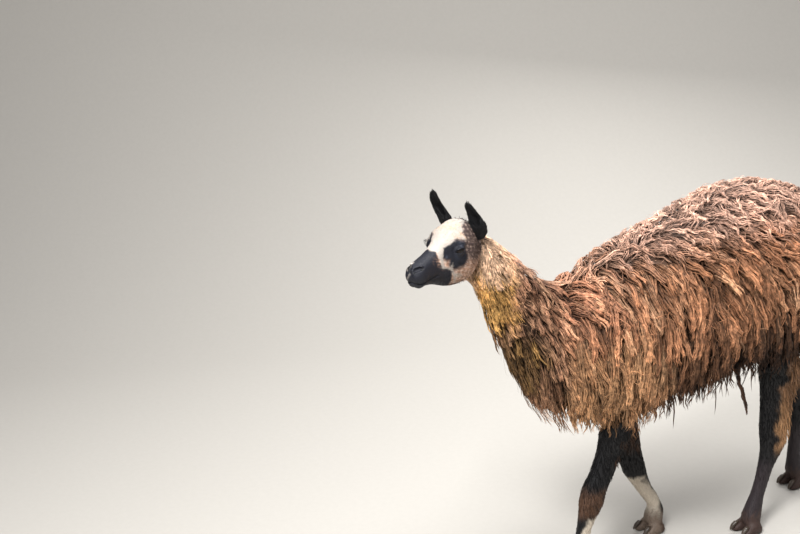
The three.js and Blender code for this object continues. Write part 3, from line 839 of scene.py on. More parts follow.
def lie(places, which):
    """The way that hair at each place lies, before it is laid along the surface."""
    z = places[:, 2:3]
    back = 0.12 + 0.58 * smooth(z, 0.86, 1.18)
    way = DOWN + back * REAR
    neck = (which == "neck")[:, None]
    way = np.where(neck, DOWN + 0.55 * REAR, way)
    head = (which == "head")[:, None]
    face = -HEAD_AXES[0] - 0.45 * HEAD_AXES[2] * smooth(np.abs(in_head(places)[:, 1:2]), 0.02, 0.06)
    way = np.where(head, face, way)
    return unit(way)


def along_surface(way, out, keep=0.0):
    """A direction laid along a surface; keep leaves that share of its way in or out."""
    inward = (way * out).sum(axis=1, keepdims=True)
    return unit(way - (1.0 - keep) * inward * out)


def grow(roots, normals, which, length, layer, steps, sway, slack=0.006):
    """Paths that rise from the skin to a layer of the fleece and then hang along it."""
    place, way = roots.copy(), normals.copy()
    path, outs = [place], [normals]
    stride = (length / (steps - 1))[:, None]
    alive = np.ones(len(roots), bool)
    used = np.full(len(roots), steps, int)
    for k in range(1, steps):
        t = k / (steps - 1)
        distance = OUTER.at(place)
        out = OUTER.slope(place)
        fall = lie(place, which) + sway
        hang = np.maximum(smooth(-place[:, 2], -FREE_FROM, -FREE_BELOW), smooth(-out[:, 2], 0.1, 0.5))
        hang = hang[:, None] * (place[:, 2:3] < FREE_TOP)
        fall = unit(fall + hang * DOWN * 1.5)
        laid = along_surface(fall, out, keep=0.0) * (1 - hang) + fall * hang
        goal = layer[:, 0] + (layer[:, 1] - layer[:, 0]) * min(t / SETTLED, 1.0)
        goal = goal - layer[:, 2] * max(t - TIP_FROM, 0.0) / TIP
        rise = np.clip((goal - distance) / EASE, -1.0, 1.0)[:, None] * (1 - 0.7 * hang)
        aim = unit(laid * (1.05 - abs(rise)) + out * rise)
        way = unit(way * 0.35 + aim)
        place = place + way * stride
        path.append(place)
        outs.append(out)
        over = (OUTER.at(place) > layer[:, 1] + slack) & (t > ROOTED)
        used = np.where(alive & over, k, used)
        alive = alive & ~over
    return np.stack(path, axis=1), np.stack(outs, axis=1), used


def shorten(paths, outs, used, marks):
    """Paths that stop where they would leave the fleece, read again at the marks (0 to 1)."""
    steps = paths.shape[1]
    reach = np.clip(used / (steps - 1), 0.35, 1.0)[:, None]
    t = marks[None, :] * reach * (steps - 1)
    low = np.minimum(t.astype(int), steps - 2)
    part = (t - low)[..., None]
    row = np.arange(len(paths))[:, None]
    return (paths[row, low] * (1 - part) + paths[row, low + 1] * part,
            outs[row, low] * (1 - part) + outs[row, low + 1] * part)

# %% Blades
BLADE = np.array([(-0.5, 0.0), (0.5, 0.0), (0.0, 0.42)])      # across and up, for a width of 1
PATCH = 0.003                  # how wide one blade is on the OFBake map


def blades(paths, outs, width, taper, marks):
    """Closed three-sided blades along paths: their corners, triangles and each corner's place
    along the blade (0 to 1) and across it."""
    n, k = paths.shape[:2]
    tangent = unit(np.gradient(paths, axis=1))
    across = unit(np.cross(tangent, outs))
    rise = np.cross(across, tangent)
    wide = width[:, None] * taper[None, :]
    rings = paths[:, :-1, None, :] + wide[:, :-1, None, None] * (
        BLADE[:, 0][None, None, :, None] * across[:, :-1, None, :]
        + BLADE[:, 1][None, None, :, None] * rise[:, :-1, None, :])
    corners = np.concatenate([rings.reshape(n, -1, 3), paths[:, -1:, :]], axis=1)
    faces = [(0, 2, 1)]
    for ring in range(k - 2):
        for side in range(3):
            one, two = 3 * ring + side, 3 * ring + (side + 1) % 3
            faces += [(one, two, two + 3), (one, two + 3, one + 3)]
    tip = 3 * (k - 1)
    faces += [(3 * (k - 2) + side, 3 * (k - 2) + (side + 1) % 3, tip) for side in range(3)]
    size = corners.shape[1]
    every = np.array(faces)[None] + (np.arange(n) * size)[:, None, None]
    along = np.append(np.repeat(marks[:-1], 3), 1.0)
    side = np.append(np.tile([0.0, 1.0, 0.5], k - 1), 0.5)
    return corners, every.reshape(-1, 3), np.tile(along, (n, 1)), np.tile(side, (n, 1))


def store(mesh, key, values):
    """Keeps a number, a vector or a colour at every corner of a mesh, under a name."""
    values = np.asarray(values).astype(np.float32)
    columns = 1 if values.ndim == 1 else values.shape[1]
    kind, field = {1: ("FLOAT", "value"), 3: ("FLOAT_VECTOR", "vector"),
                   4: ("FLOAT_COLOR", "color")}[columns]
    mesh.attributes.new(key, kind, "POINT").data.foreach_set(field, values.ravel())


def store_pelt(mesh, colours):
    store(mesh, "pelt", np.c_[colours, np.ones(len(colours))])


def store_bake_map(mesh, uv):
    """Writes the OFBake map from one place for each corner of a mesh."""
    index = np.empty(len(mesh.loops), np.int32)
    mesh.loops.foreach_get("vertex_index", index)
    loops = mesh.uv_layers.new(name="OFBake")
    loops.data.foreach_set("uv", uv[index].astype(np.float32).ravel())


def coat_piece(name, made, tint, tone, home, wide, material):
    """One mesh of many blades, with their colour, their tone, the place along and across each
    blade (the second in millimetres) and the OFBake map."""
    corners, faces, along, side = made
    each = corners.shape[1]
    piece = mesh_object(name, corners.reshape(-1, 3), faces)
    mesh = piece.data
    tint, tone, home = (np.repeat(values, each, axis=0) for values in (tint, tone, home))
    apart = (np.arange(len(wide)) * 7.31 % 991.0)[:, None]           # no two blades look the same
    fibre = apart + (side - 0.5) * wide[:, None] * 1000.0
    store_pelt(mesh, tint)
    for key, values in (("along", along.ravel()), ("tone", tone), ("fibre", fibre.ravel())):
        store(mesh, key, values)
    store_bake_map(mesh, home + PATCH * np.stack([side.ravel() - 0.5, along.ravel() - 0.5], axis=1))
    mesh.materials.append(material)
    return piece

# %% [markdown]
# ## What hair looks like
# Sheep, llamas and dogs all have hair that is darker at its root, where it is clean and shaded,
# and bleached at its tip. On the wool the roots are darkened further, as painted shade of the
# fleece's depth. Each blade carries its pelt colour, its own tone and the place along it, and the
# material puts them together: a node tree reads those, so the same tree serves every lock. Hair is
# keratin, with an IOR of about 1.55 and a soft, broad shine.

# %% Material tools
def add_node(tree, kind, inputs=None, **settings):
    """Adds one node. Inputs are named or numbered, and take a value or another node's output."""
    made = tree.nodes.new(kind)
    for key, value in settings.items():
        setattr(made, key, value)
    for key, value in (inputs or {}).items():
        if isinstance(value, bpy.types.NodeSocket):
            tree.links.new(value, made.inputs[key])
        else:
            made.inputs[key].default_value = value
    return made


def new_material(name, **shader):
    """A material with its shader's constants set on its own sockets."""
    material = bpy.data.materials.new(name)
    material.use_nodes = True
    tree = material.node_tree
    principled = tree.nodes["Principled BSDF"]
    for key, value in shader.items():
        principled.inputs[key.replace("_", " ")].default_value = value
    return material, tree, principled


def ramp(tree, factor, stops):
    """A colour ramp whose stops are (place, grey level or colour)."""
    made = add_node(tree, "ShaderNodeValToRGB", {0: factor})
    while len(made.color_ramp.elements) < len(stops):
        made.color_ramp.elements.new(0.5)
    for element, (place, level) in zip(made.color_ramp.elements, stops):
        element.position = place
        element.color = (*(np.ones(3) * level), 1.0)
    return made.outputs["Color"]


def multiply(tree, one, two):
    made = add_node(tree, "ShaderNodeMix", {0: 1.0, 6: one, 7: two},
                    data_type="RGBA", blend_type="MULTIPLY")
    return made.outputs[2]


def between(tree, share, one, two):
    """A mix of two paints by a share."""
    made = add_node(tree, "ShaderNodeMix", {0: share, 6: (*paint(one), 1.0), 7: (*paint(two), 1.0)},
                    data_type="RGBA")
    return made.outputs[2]


def maths(tree, operation, one, two):
    return add_node(tree, "ShaderNodeMath", {0: one, 1: two}, operation=operation).outputs[0]


def attribute(tree, key, output="Fac"):
    return add_node(tree, "ShaderNodeAttribute", attribute_name=key).outputs[output]


def object_place(tree):
    return add_node(tree, "ShaderNodeTexCoord").outputs["Object"]


def noise(tree, place, scale, detail=2.0, rough=0.5):
    """Soft noise; a scale of 1000 over some millimetres gives humps about that wide."""
    return add_node(tree, "ShaderNodeTexNoise", {"Vector": place, "Scale": scale, "Detail": detail,
                                                 "Roughness": rough}).outputs["Fac"]


def dress(tree, shader, colour, relief=None, distance=0.0, strength=0.0):
    """Gives the shader its colour and, where there is one, a relief felt as bump."""
    tree.links.new(colour, shader.inputs["Base Color"])
    if relief is not None:
        bump = add_node(tree, "ShaderNodeBump", {"Height": relief, "Distance": distance,
                                                 "Strength": strength})
        tree.links.new(bump.outputs["Normal"], shader.inputs["Normal"])


def hair_material(name, root, tip, rough, fleck_mm, fibre_mm=None):
    """Hair: root and tip are how bright its two ends are against its own colour. A dark root is partly
    the hair's own unbleached colour and partly painted shade of the depth of the coat. The tone, read
    through a ramp, is random on short hair, and on the wool it also carries painted light on each
    lock's crest and painted shade in its folds. Wool also has fibres fibre_mm apart that run along
    each blade, seen as streaks and felt as grooves."""
    material, tree, shader = new_material(name, Roughness=rough, IOR=1.55, Specular_IOR_Level=0.18)
    along, place = attribute(tree, "along"), object_place(tree)
    # Root to tip: dark roots partly painted shade; the tone ramp below carries painted crest light and fold
    # shade.
    shade = ramp(tree, along, [(0.0, root), (0.50, 0.85), (0.8, 1.0), (1.0, tip)])
    lift = ramp(tree, attribute(tree, "tone"), [(0.0, 0.26), (0.5, 0.95), (1.0, 1.9)])
    fleck = ramp(tree, noise(tree, place, 1000.0 / fleck_mm, 2.0, 0.6), [(0.3, 0.78), (0.7, 1.2)])
    colour = attribute(tree, "pelt", "Color")
    for layer in (shade, lift, fleck):
        colour = multiply(tree, colour, layer)
    fibre = None
    if fibre_mm:
        run = maths(tree, "MULTIPLY", along, 5.0)
        lines = add_node(tree, "ShaderNodeCombineXYZ", {0: attribute(tree, "fibre"), 1: run}).outputs[0]
        fibre = noise(tree, lines, 0.7 / fibre_mm, 2.0, 0.7)
        matted = noise(tree, place, 1000.0 / 17.0, 3.0, 0.7)
        for layer in (ramp(tree, fibre, [(0.30, 0.42), (0.5, 0.95), (0.70, 1.55)]),
                      ramp(tree, matted, [(0.36, 0.55), (0.5, 1.0), (0.64, 1.45)])):
            colour = multiply(tree, colour, layer)
    dress(tree, shader, colour, fibre, 0.0012, 0.9)
    return material


# Fleece of a llama: crimped and matt, with dry bleached ends; its dark roots are partly its own colour and
# partly painted shade of its depth.
FLEECE = hair_material("llama fleece", 0.20, 1.35, 0.62, 6.0, 0.9)
# The first wool under it, made darker at root and tip as painted shade of the fleece's depth.
UNDERWOOL = hair_material("llama underwool", 0.4, 0.8, 0.8, 8.0, 1.5)


def skin_material():
    """Hide with its shortest hair: the same markings, a fine nap in bump and a soft sheen."""
    material, tree, shader = new_material("short-haired hide", Roughness=0.58, IOR=1.5,
                                          Specular_IOR_Level=0.35)
    nap = noise(tree, object_place(tree), 1000.0 / 3.0, 3.0, 0.65)
    shade = ramp(tree, nap, [(0.3, 0.72), (0.7, 1.2)])
    dress(tree, shader, multiply(tree, attribute(tree, "pelt", "Color"), shade), nap, 0.0012, 0.7)
    return material

# %% Colour the skin
def dress_skin():
    which = regions(SKIN_POINTS)
    colour = pelt(SKIN_POINTS, which)
    woolly = np.isin(which, ["trunk", "neck"])
    # Painted shade: the skin under the wool is darkened to stand for the shade in the depth of the fleece.
    colour[woolly] *= 0.28                                 # the skin in the depth of the fleece
    store_pelt(skin.data, colour)
    skin.data.materials.clear()
    skin.data.materials.append(skin_material())


dress_skin()

# %% [markdown]
# ## The fleece
# The wool of the trunk and neck hangs in locks as wide as two fingers and as long as a hand,
# crimped every four to seven centimetres, and more closely on the spine. It parts on the spine,
# lies back and down over the flank and hangs free below the belly. Dark gaps open between locks,
# so each lock draws in towards its tip.

# %% Grow the fleece
CRIMP = 0.050              # length of one wave of the wool, before it varies
FORE_TOP = np.array(centre_line("foreleg_left", np.array([0.62]))[0])       # under its fringe
TAPER = np.array([0.45, 0.8, 1.0, 1.0, 0.95, 0.8, 0.0])
PIECE_LIMIT = 190000       # triangles
SUNK, VALLEY, TURN_IN = 0.014, 0.021, 0.012    # how deep locks lie, the folds go and the tips turn


def taper(marks):
    return np.interp(marks, np.linspace(0, 1, len(TAPER)), TAPER)


def spaced(count):
    """Marks from root to tip, closer together in the outer half, which shows."""
    t = np.linspace(0, 1, count)
    return t + 0.16 * np.sin(math.pi * t) * (1.0 - 0.3 * t)


def on_spine(places):
    """1 along the top of the back, where the wool is short, curled and matted."""
    _, y, z = places.T
    return smooth(above_back(y, z), 1.04, 1.15) * smooth(y, CHEST_Y, CHEST_Y + 0.1)


def around(places):
    """A place's turn round the body's own axis and its place along it, both 0 to 1."""
    axis_z = np.interp(places[:, 1], [-0.70, -0.45, 0.0, 0.80], [1.20, 0.98, 0.92, 0.95])
    angle = np.arctan2(places[:, 0] - MIDLINE, places[:, 2] - axis_z) / (2 * math.pi) + 0.5
    return np.stack([angle, (places[:, 1] + 0.75) / 1.75], axis=1)


def locks(roots, normals, layers, length, size, slack=0.006, least=0.42, sway=0.13):
    """One path for each lock, with what its strands share: size, wave, tone and colour."""
    n = len(roots)
    which = np.where(regions(roots) == "trunk", "trunk", "neck")
    neck, spine = (which == "neck").astype(float), on_spine(roots)
    depth = np.clip(-OUTER.at(roots), 0.004, 0.06)
    reach = length * (1 - 0.30 * neck) * (1.0 - 0.34 * spine) * draw.uniform(0.72, 1.25, n)
    reach = reach * np.clip(depth / 0.036, least, 1.0) * (1 + 0.35 * smooth(-roots[:, 2], -0.92, -0.78))
    before = np.linalg.norm((roots[:, :2] - FORE_TOP[:2]) / [0.12, 0.075], axis=1)
    reach = reach * (1 + 0.40 * smooth(1 - before, 0.0, 0.8) * smooth(-roots[:, 2], -0.84, -0.74))
    start = np.maximum(layers[0], -0.75 * depth)
    deep = np.clip(depth / 0.034, 0.1, 1.0)
    sunk = SUNK * draw.random(n) ** 1.5 * (1 - 0.5 * spine) * deep
    start = start - 0.004 * draw.random(n) * deep
    layer = np.stack([start, layers[1] - sunk, TURN_IN * deep], axis=1)
    fold = ripple(roots * [0.2, 1.0, 0.22], 0.062, 61)                     # hanging folds
    valley = smooth(fold, 0.05, 0.9) * (1 - spine) * np.clip(depth / 0.04, 0, 1)
    layer[:, :2] -= VALLEY * valley[:, None]
    layer[:, 1] = np.maximum(layer[:, 1], -0.45 * depth)                   # never inside the skin
    bend = np.stack([ripple(roots, 0.16, 51 + k) for k in range(3)], axis=1) * 0.28
    bend = bend + draw.normal(0, sway, (n, 3)) + draw.normal(0, 0.24, (n, 3)) * spine[:, None]
    clump = smooth(ripple(roots * [0.5, 1.0, 0.4], 0.055, 62), -0.7, 0.7)
    paths, outs, used = grow(roots, normals, which, reach, layer, 16, bend, slack)
    shown, _ = shorten(paths, outs, used, np.array([0.0, 0.6, 1.0]))
    return {"roots": roots, "paths": paths, "outs": outs, "used": used, "spine": spine, "neck": neck,
            "size": size * draw.uniform(0.7, 1.3, n) * (1 - 0.3 * neck) * np.clip(depth / 0.03, 0.4, 1),
            "crimp": 0.0048 * draw.uniform(0.5, 1.3, n) * (1 - 0.5 * neck) * (1 - 0.2 * spine),
            "phase": 5.0 * ripple(roots, 0.3, 41) + draw.uniform(0, 2.6, n),
            "pitch": CRIMP * draw.uniform(0.8, 1.5, n) * (1 - 0.3 * spine),
            # The tone varies at random and by clump, and is lower in the valleys of the hanging folds, as
            # painted shade.
            "tone": 0.45 * draw.random(n) + 0.58 * clump - 0.75 * valley,
            "tint": pelt(shown[:, 1], which)}


def strands(lock, places, width, steps, clump=0.78, lift=0.0, shade=1.0, wave=1.0):
    """Blades of every lock: they lie side by side at its places (-0.5 to 0.5), crimp together
    and meet near its tip."""
    n, count = len(lock["roots"]), len(places)
    marks = spaced(steps)
    paths, outs = shorten(lock["paths"], lock["outs"], lock["used"], marks)
    tangent = unit(np.gradient(paths, axis=1))
    across = unit(np.cross(tangent, outs))
    rise = np.cross(across, tangent)
    gaps = np.linalg.norm(np.diff(paths, axis=1), axis=2)
    run = np.concatenate([np.zeros((n, 1)), np.cumsum(gaps, axis=1)], axis=1)
    every = np.repeat(np.arange(n), count)
    own = {key: values[every][:, None] for key, values in lock.items()
           if key in ("size", "crimp", "phase", "pitch", "spine", "tone")}
    place = np.tile(places, n)[:, None] + draw.normal(0, 0.09, (n * count, 1))
    t = marks[None, :]
    shrink = 1.0 - clump * smooth(t, 0.05, 0.95)
    crown = (0.25 - place ** 2) * own["size"] * 1.1 + draw.normal(0, 0.0016, place.shape) + lift
    phase = own["phase"] + draw.normal(0, 0.25, place.shape)
    turns = 2 * math.pi * run[every] / own["pitch"] + phase
    grown_in = smooth(t, 0.15, 0.5)
    stray = (draw.random(place.shape) < 0.12) * draw.normal(0, 0.014, place.shape) * t ** 2
    wander = draw.normal(0, 0.0045, place.shape) * t ** 2 + stray
    sideways = place * own["size"] * shrink + wave * own["crimp"] * np.sin(turns) * grown_in + wander
    upward = crown * shrink + (0.0012 + 0.0022 * own["spine"]) * np.cos(turns + 0.6) * grown_in
    many = paths[every] + sideways[..., None] * across[every] + upward[..., None] * rise[every]
    # Painted light: strands in the middle of a lock get a higher tone and its edges a lower one, as on a lit
    # crest.
    painted_crest_light = 1.0 - np.clip(np.abs(place[:, 0]) * 2, 0, 1)
    tone = 0.62 * own["tone"][:, 0] + 0.18 * draw.random(len(every)) + 0.26 * painted_crest_light
    wide = width * draw.uniform(0.65, 1.25, len(every)) * (1 - 0.3 * lock["neck"][every])
    wide = wide * (1 - 0.42 * lock["spine"][every])
    return lock["roots"][every], many, outs[every], wide, lock["tint"][every] * shade, tone, marks


def hang_up(name, material, layer, unwrap):
    """Turns a layer into coat pieces under the limit, from front to back, and rides them."""
    roots, paths, outs, wide, tint, tone, marks = layer
    each = 6 * (paths.shape[1] - 2) + 4
    count = max(1, math.ceil(len(roots) * each / PIECE_LIMIT))
    order = np.argsort(roots[:, 1])
    for number, chosen in enumerate(np.array_split(order, count)):
        uv = unwrap(roots[chosen])
        low, high = uv.min(axis=0), uv.max(axis=0)
        uv = 0.01 + 0.98 * (uv - low) / np.maximum(high - low, 1e-6)
        made = blades(paths[chosen], outs[chosen], wide[chosen], taper(marks), marks)
        title = f"{name}_{number + 1}" if count > 1 else name
        piece = coat_piece(title, made, tint[chosen], np.clip(tone[chosen], 0, 1), uv, wide[chosen],
                           material)
        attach(piece, "root")
        print(title, "blades", len(chosen), "triangles", len(piece.data.polygons))


draw = np.random.default_rng(2026)
THIN = 1.0
woolly = (FACE_REGION == "trunk") | (FACE_REGION == "neck")
near_head = FACE_BEHIND < 0.10
under_belly = FACE_NORMAL[:, 2] < -0.85

# First a dense short wool, then the locks: three broad blades and four fine strands in each.
bare = woolly & (FACE_BEHIND > 0.05)
wool = locks(*sow(bare, 0.0250 * THIN, draw), (-0.030, -0.018), 0.10, 0.010, 0.004)
# shade=0.45 paints shade: the underwool is darkened as the depth of the fleece.
hang_up("underwool", UNDERWOOL, strands(wool, [0.0], 0.012, 6, shade=0.45), around)
wool = locks(*sow(woolly & ~near_head & ~under_belly, 0.0285 * THIN, draw), (-0.020, 0.0), 0.155, 0.036)
hang_up("fleece", FLEECE, strands(wool, [-0.33, 0.02, 0.36], 0.0090, 9, lift=-0.001, shade=0.95, wave=0.55),
        around)
hang_up("fleece_fine", FLEECE, strands(wool, [-0.5, -0.1, 0.15, 0.5], 0.0036, 10, lift=0.0015),
        around)
wool = locks(*sow(woolly & near_head, 0.0108 * THIN, draw), (-0.008, 0.005), 0.120, 0.016, 0.012, 0.85, 0.06)
# shade=1.25 paints light: the throat hair is made brighter than its pelt colour.
hang_up("throat_hair", FLEECE, strands(wool, [-0.4, -0.1, 0.15, 0.4], 0.0032, 7, shade=1.25), around)

# The fringe: longer, thinner locks all round the lower edge, that leave the form and hang.
low_flank = woolly & (FACE_MIDDLE[:, 2] < 0.80)
wool = locks(*sow(low_flank, 0.045 * THIN, draw), (-0.020, 0.002), 0.25, 0.024, 0.034)
hang_up("fringe", FLEECE, strands(wool, [-0.4, 0.0, 0.4], 0.0036, 12, shade=0.9), around)

# Single curly hairs that have worked loose, all over.
wool = locks(*sow(woolly & ~near_head, 0.046 * THIN, draw), (-0.010, 0.006), 0.13, 0.010, 0.012, sway=0.5)
wool["crimp"] = wool["crimp"] * 2.2
hang_up("loose_hair", FLEECE, strands(wool, [0.0], 0.0014, 10, lift=0.002, shade=1.2), around)

# %% [markdown]
# ## Short hair
# On the face, the ears and the legs the hair is short and lies close. There it is one small
# closed tuft, a bent blade with ten faces, set thousands of times. Geometry Nodes does that: the
# points carry the way each tuft lies, its size and its colour, the tree turns a copy of the
# tuft to each point, and Realize Instances makes them one mesh that can be exported.

# %% The tuft and the tree that sets it
def one_tuft(name, rings, bend):
    """A blade 1 long along X, about 1 wide, bent so that its tip turns back to the skin."""
    t = np.linspace(0, 1, rings)
    path = np.stack([t, 0 * t, bend * np.sin(math.pi * t * 0.9)], axis=1)[None]
    outs = np.tile([0.0, 0.0, 1.0], (1, rings, 1))
    width = np.interp(t, [0, 0.35, 1], [0.6, 1.0, 0.0])
    corners, faces, along, side = blades(path, outs, np.array([1.0]), width, t)
    piece = mesh_object(name, corners[0], faces)
    store(piece.data, "along", along[0])
    store(piece.data, "side", side[0])
    return piece


def tuft_tree(name):
    """Geometry Nodes that set a tuft on every point of a mesh."""
    tree = bpy.data.node_groups.new(name, "GeometryNodeTree")
    face = tree.interface
    for title, kind in (("Points", "NodeSocketGeometry"), ("Tuft", "NodeSocketObject"),
                        ("Length", "NodeSocketFloat"), ("Width", "NodeSocketFloat"),
                        ("Uneven", "NodeSocketFloat"), ("Seed", "NodeSocketInt"),
                        ("Material", "NodeSocketMaterial")):
        face.new_socket(title, in_out="INPUT", socket_type=kind)
    face.new_socket("Coat", in_out="OUTPUT", socket_type="NodeSocketGeometry")
    given = add_node(tree, "NodeGroupInput").outputs

    def stored(key, kind):
        return add_node(tree, "GeometryNodeInputNamedAttribute", {"Name": key}, data_type=kind).outputs[0]

    shape = add_node(tree, "GeometryNodeObjectInfo", {"Object": given["Tuft"]}).outputs["Geometry"]
    turned = add_node(tree, "FunctionNodeAxesToRotation",
                      {0: stored("out", "FLOAT_VECTOR"), 1: stored("lay", "FLOAT_VECTOR")},
                      primary_axis="Z", secondary_axis="X").outputs[0]
    least, most = (maths(tree, way, 1.0, given["Uneven"]) for way in ("SUBTRACT", "ADD"))
    vary = add_node(tree, "FunctionNodeRandomValue", {"Min": least, "Max": most, "Seed": given["Seed"]},
                    data_type="FLOAT").outputs[1]
    size = maths(tree, "MULTIPLY", stored("size", "FLOAT"), vary)
    spans = [maths(tree, "MULTIPLY", size, given[key]) for key in ("Length", "Width")]
    scale = add_node(tree, "ShaderNodeCombineXYZ", {0: spans[0], 1: spans[1], 2: spans[1]}).outputs[0]
    placed = add_node(tree, "GeometryNodeInstanceOnPoints",
                      {"Points": given["Points"], "Instance": shape, "Rotation": turned,
                       "Scale": scale}).outputs[0]
    solid = add_node(tree, "GeometryNodeRealizeInstances", {"Geometry": placed}).outputs[0]
    dressed = add_node(tree, "GeometryNodeSetMaterial",
                       {"Geometry": solid, "Material": given["Material"]}).outputs[0]
    add_node(tree, "NodeGroupOutput", {"Coat": dressed})
    return tree


TUFT_TREE = tuft_tree("set tufts")


def set_tufts(name, tuft, places, out, lay, size, tint, tone, home, length, width, material):
    """Sets the tuft at every place and rides the finished mesh."""
    points = bpy.data.meshes.new(name)
    points.vertices.add(len(places))
    points.vertices.foreach_set("co", places.astype(np.float32).ravel())
    for key, values in (("out", out), ("lay", lay), ("home", np.c_[home, np.zeros(len(home))]),
                        ("size", size), ("tone", tone)):
        store(points, key, values)
    store_pelt(points, tint)
    piece = in_scene(name, points)
    grower = piece.modifiers.new("tufts", "NODES")
    grower.node_group = TUFT_TREE
    settings = {"Tuft": tuft, "Length": length, "Width": width, "Uneven": 0.3, "Seed": 11,
                "Material": material}
    for item in TUFT_TREE.interface.items_tree:
        if item.item_type == "SOCKET" and item.in_out == "INPUT" and item.name in settings:
            grower[item.identifier] = settings[item.name]
    finished(piece)
    mesh = piece.data
    read = {}
    for key, width_, kind in (("home", 3, "vector"), ("along", 1, "value"), ("side", 1, "value")):
        values = np.empty(len(mesh.vertices) * width_, np.float32)
        mesh.attributes[key].data.foreach_get(kind, values)
        read[key] = values.reshape(-1, width_)
    patch = np.c_[read["side"] - 0.5, read["along"] - 0.5]
    store_bake_map(mesh, read["home"][:, :2] + PATCH * patch)
    mesh.polygons.foreach_set("use_smooth", np.ones(len(mesh.polygons), bool))
    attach(piece, "root")
    print(name, "tufts", len(places), "triangles", sum(len(p.vertices) - 2 for p in mesh.polygons))

# %% Where the short hair grows
def around_head(places):
    """Turn round the head's own long axis, and place along it; the ears get a strip of their own."""
    here = in_head(places)
    angle = np.arctan2(here[:, 1], here[:, 2] + 0.085) / (2 * math.pi) + 0.5
    ear = EAR_SHAPE.at(places) < 0.004
    v = np.clip((here[:, 0] + 0.08) / 0.40, 0, 1) * 0.78
    ear_v = 0.82 + 0.16 * np.clip((here[:, 2] + 0.04) / 0.15, 0, 1)
    centre = np.where(here[:, 1] > 0, 0.25, 0.75)
    ear_u = centre + 0.22 * np.clip((here[:, 0] - 0.012) / 0.03, -1, 1)
    return np.clip(np.stack([np.where(ear, ear_u, angle), np.where(ear, ear_v, v)], axis=1), 0.01, 0.99)


def around_legs(places, which):
    """Each leg has a quarter of the map: the turn round its middle line, and its height."""
    uv = np.zeros((len(places), 2))
    for number, name in enumerate(LEGS):
        mine = which == name
        line = centre_line(name, places[mine][:, 2])
        angle = np.arctan2(places[mine][:, 0] - line[:, 0], places[mine][:, 1] - line[:, 1])
        uv[mine, 0] = (number + 0.03 + 0.94 * (angle / (2 * math.pi) + 0.5)) / 4
        uv[mine, 1] = np.clip(places[mine][:, 2] / 0.80, 0.0, 1.0) * 0.98 + 0.01
    return uv


FACE_HAIR = hair_material("face hair", 0.95, 1.1, 0.55, 3.0)
LEG_HAIR = hair_material("leg hair", 0.90, 1.15, 0.55, 4.0)
HAIR_FLOOR = 0.016             # no tuft is rooted lower, so that none goes into the ground
tuft = one_tuft("tuft", 3, 0.07)
in_face = FACE_REGION == "head"
by_face = in_face | ((FACE_REGION == "neck") & (FACE_BEHIND < 0.045))
in_ear = FACE_REGION == "ear"
in_leg = np.isin(FACE_REGION, LEGS)

# Face: the hair runs from the nose to the nape and down the cheeks.
places, out = sow(by_face, 0.0046 * THIN, draw)
here = in_head(places)
size = 0.45 + 0.55 * smooth(-here[:, 0], -0.19, -0.09)
size = size * (1 - 0.35 * smooth(here[:, 2], -0.05, 0.0)) + 0.5 * smooth(-here[:, 0], -0.04, 0.02)
clear = np.linalg.norm(here * [1, 0, 1] - [EYE_AHEAD, 0, -EYE_BELOW], axis=1) > 0.019
clear = clear & (here[:, 0] < 0.262)
way = lie(places, np.full(len(places), "head")) + draw.normal(0, 0.22, places.shape)
way = along_surface(way, out)
lay = unit(way + 0.06 * out)
which = np.where(behind_head(*places.T) < 0, "head", "neck")
set_tufts("face_hair", tuft, places[clear], unit(out - 0.06 * way)[clear], lay[clear], size[clear],
          pelt(places, which)[clear], draw.uniform(0.38, 0.68, clear.sum()), around_head(places)[clear],
          0.0110, 0.0016, FACE_HAIR)

# Ears: along the ear, from its base to its tip, longer on the edge.
places, out = sow(in_ear, 0.0040 * THIN, draw)
up_ear = unit(0.25 * HEAD_AXES[0] + HEAD_AXES[2] + 0.15 * draw.normal(0, 1, places.shape))
way = along_surface(up_ear, out)
set_tufts("ear_hair", tuft, places, unit(out - 0.1 * way), unit(way + 0.1 * out),
          draw.uniform(0.7, 1.2, len(places)), pelt(places, np.full(len(places), "ear")),
          draw.uniform(0.3, 0.7, len(places)), around_head(places), 0.0100, 0.0016, FACE_HAIR)

# Legs: straight down, longer above the knee and hock, shortest on the foot.
places, out = sow(in_leg, 0.0080 * THIN, draw)
which = regions(places)
kept = np.isin(which, LEGS) & (places[:, 2] > HAIR_FLOOR)
places, out, which = places[kept], out[kept], which[kept]
fall = np.tile(DOWN + 0.15 * REAR, (len(places), 1)) + draw.normal(0, 0.16, places.shape)
way = along_surface(unit(fall), out)
size = 0.42 + 0.58 * smooth(places[:, 2], 0.07, 0.45)
tone = 0.52 + draw.uniform(-0.5, 0.5, len(places)) * (0.12 + 0.4 * smooth(places[:, 2], 0.2, 0.4))
set_tufts("leg_hair", tuft, places, unit(out - 0.07 * way), unit(way + 0.07 * out), size,
          pelt(places, which), tone, around_legs(places, which),
          0.019, 0.0030, LEG_HAIR)
bpy.data.objects.remove(tuft)

# %% [markdown]
# ## Fringes, lashes and the odd lock
# Some hair stands away from the form: the fringe between the ears, the tuft over the far eye,
# the beard along the jaw, the woolly knee, the fringes behind the forearms and thighs and one
# matted lock that hangs like a rope from the flank. They are the same blades as the fleece, on
# simple curved paths that start out of the skin and then droop.

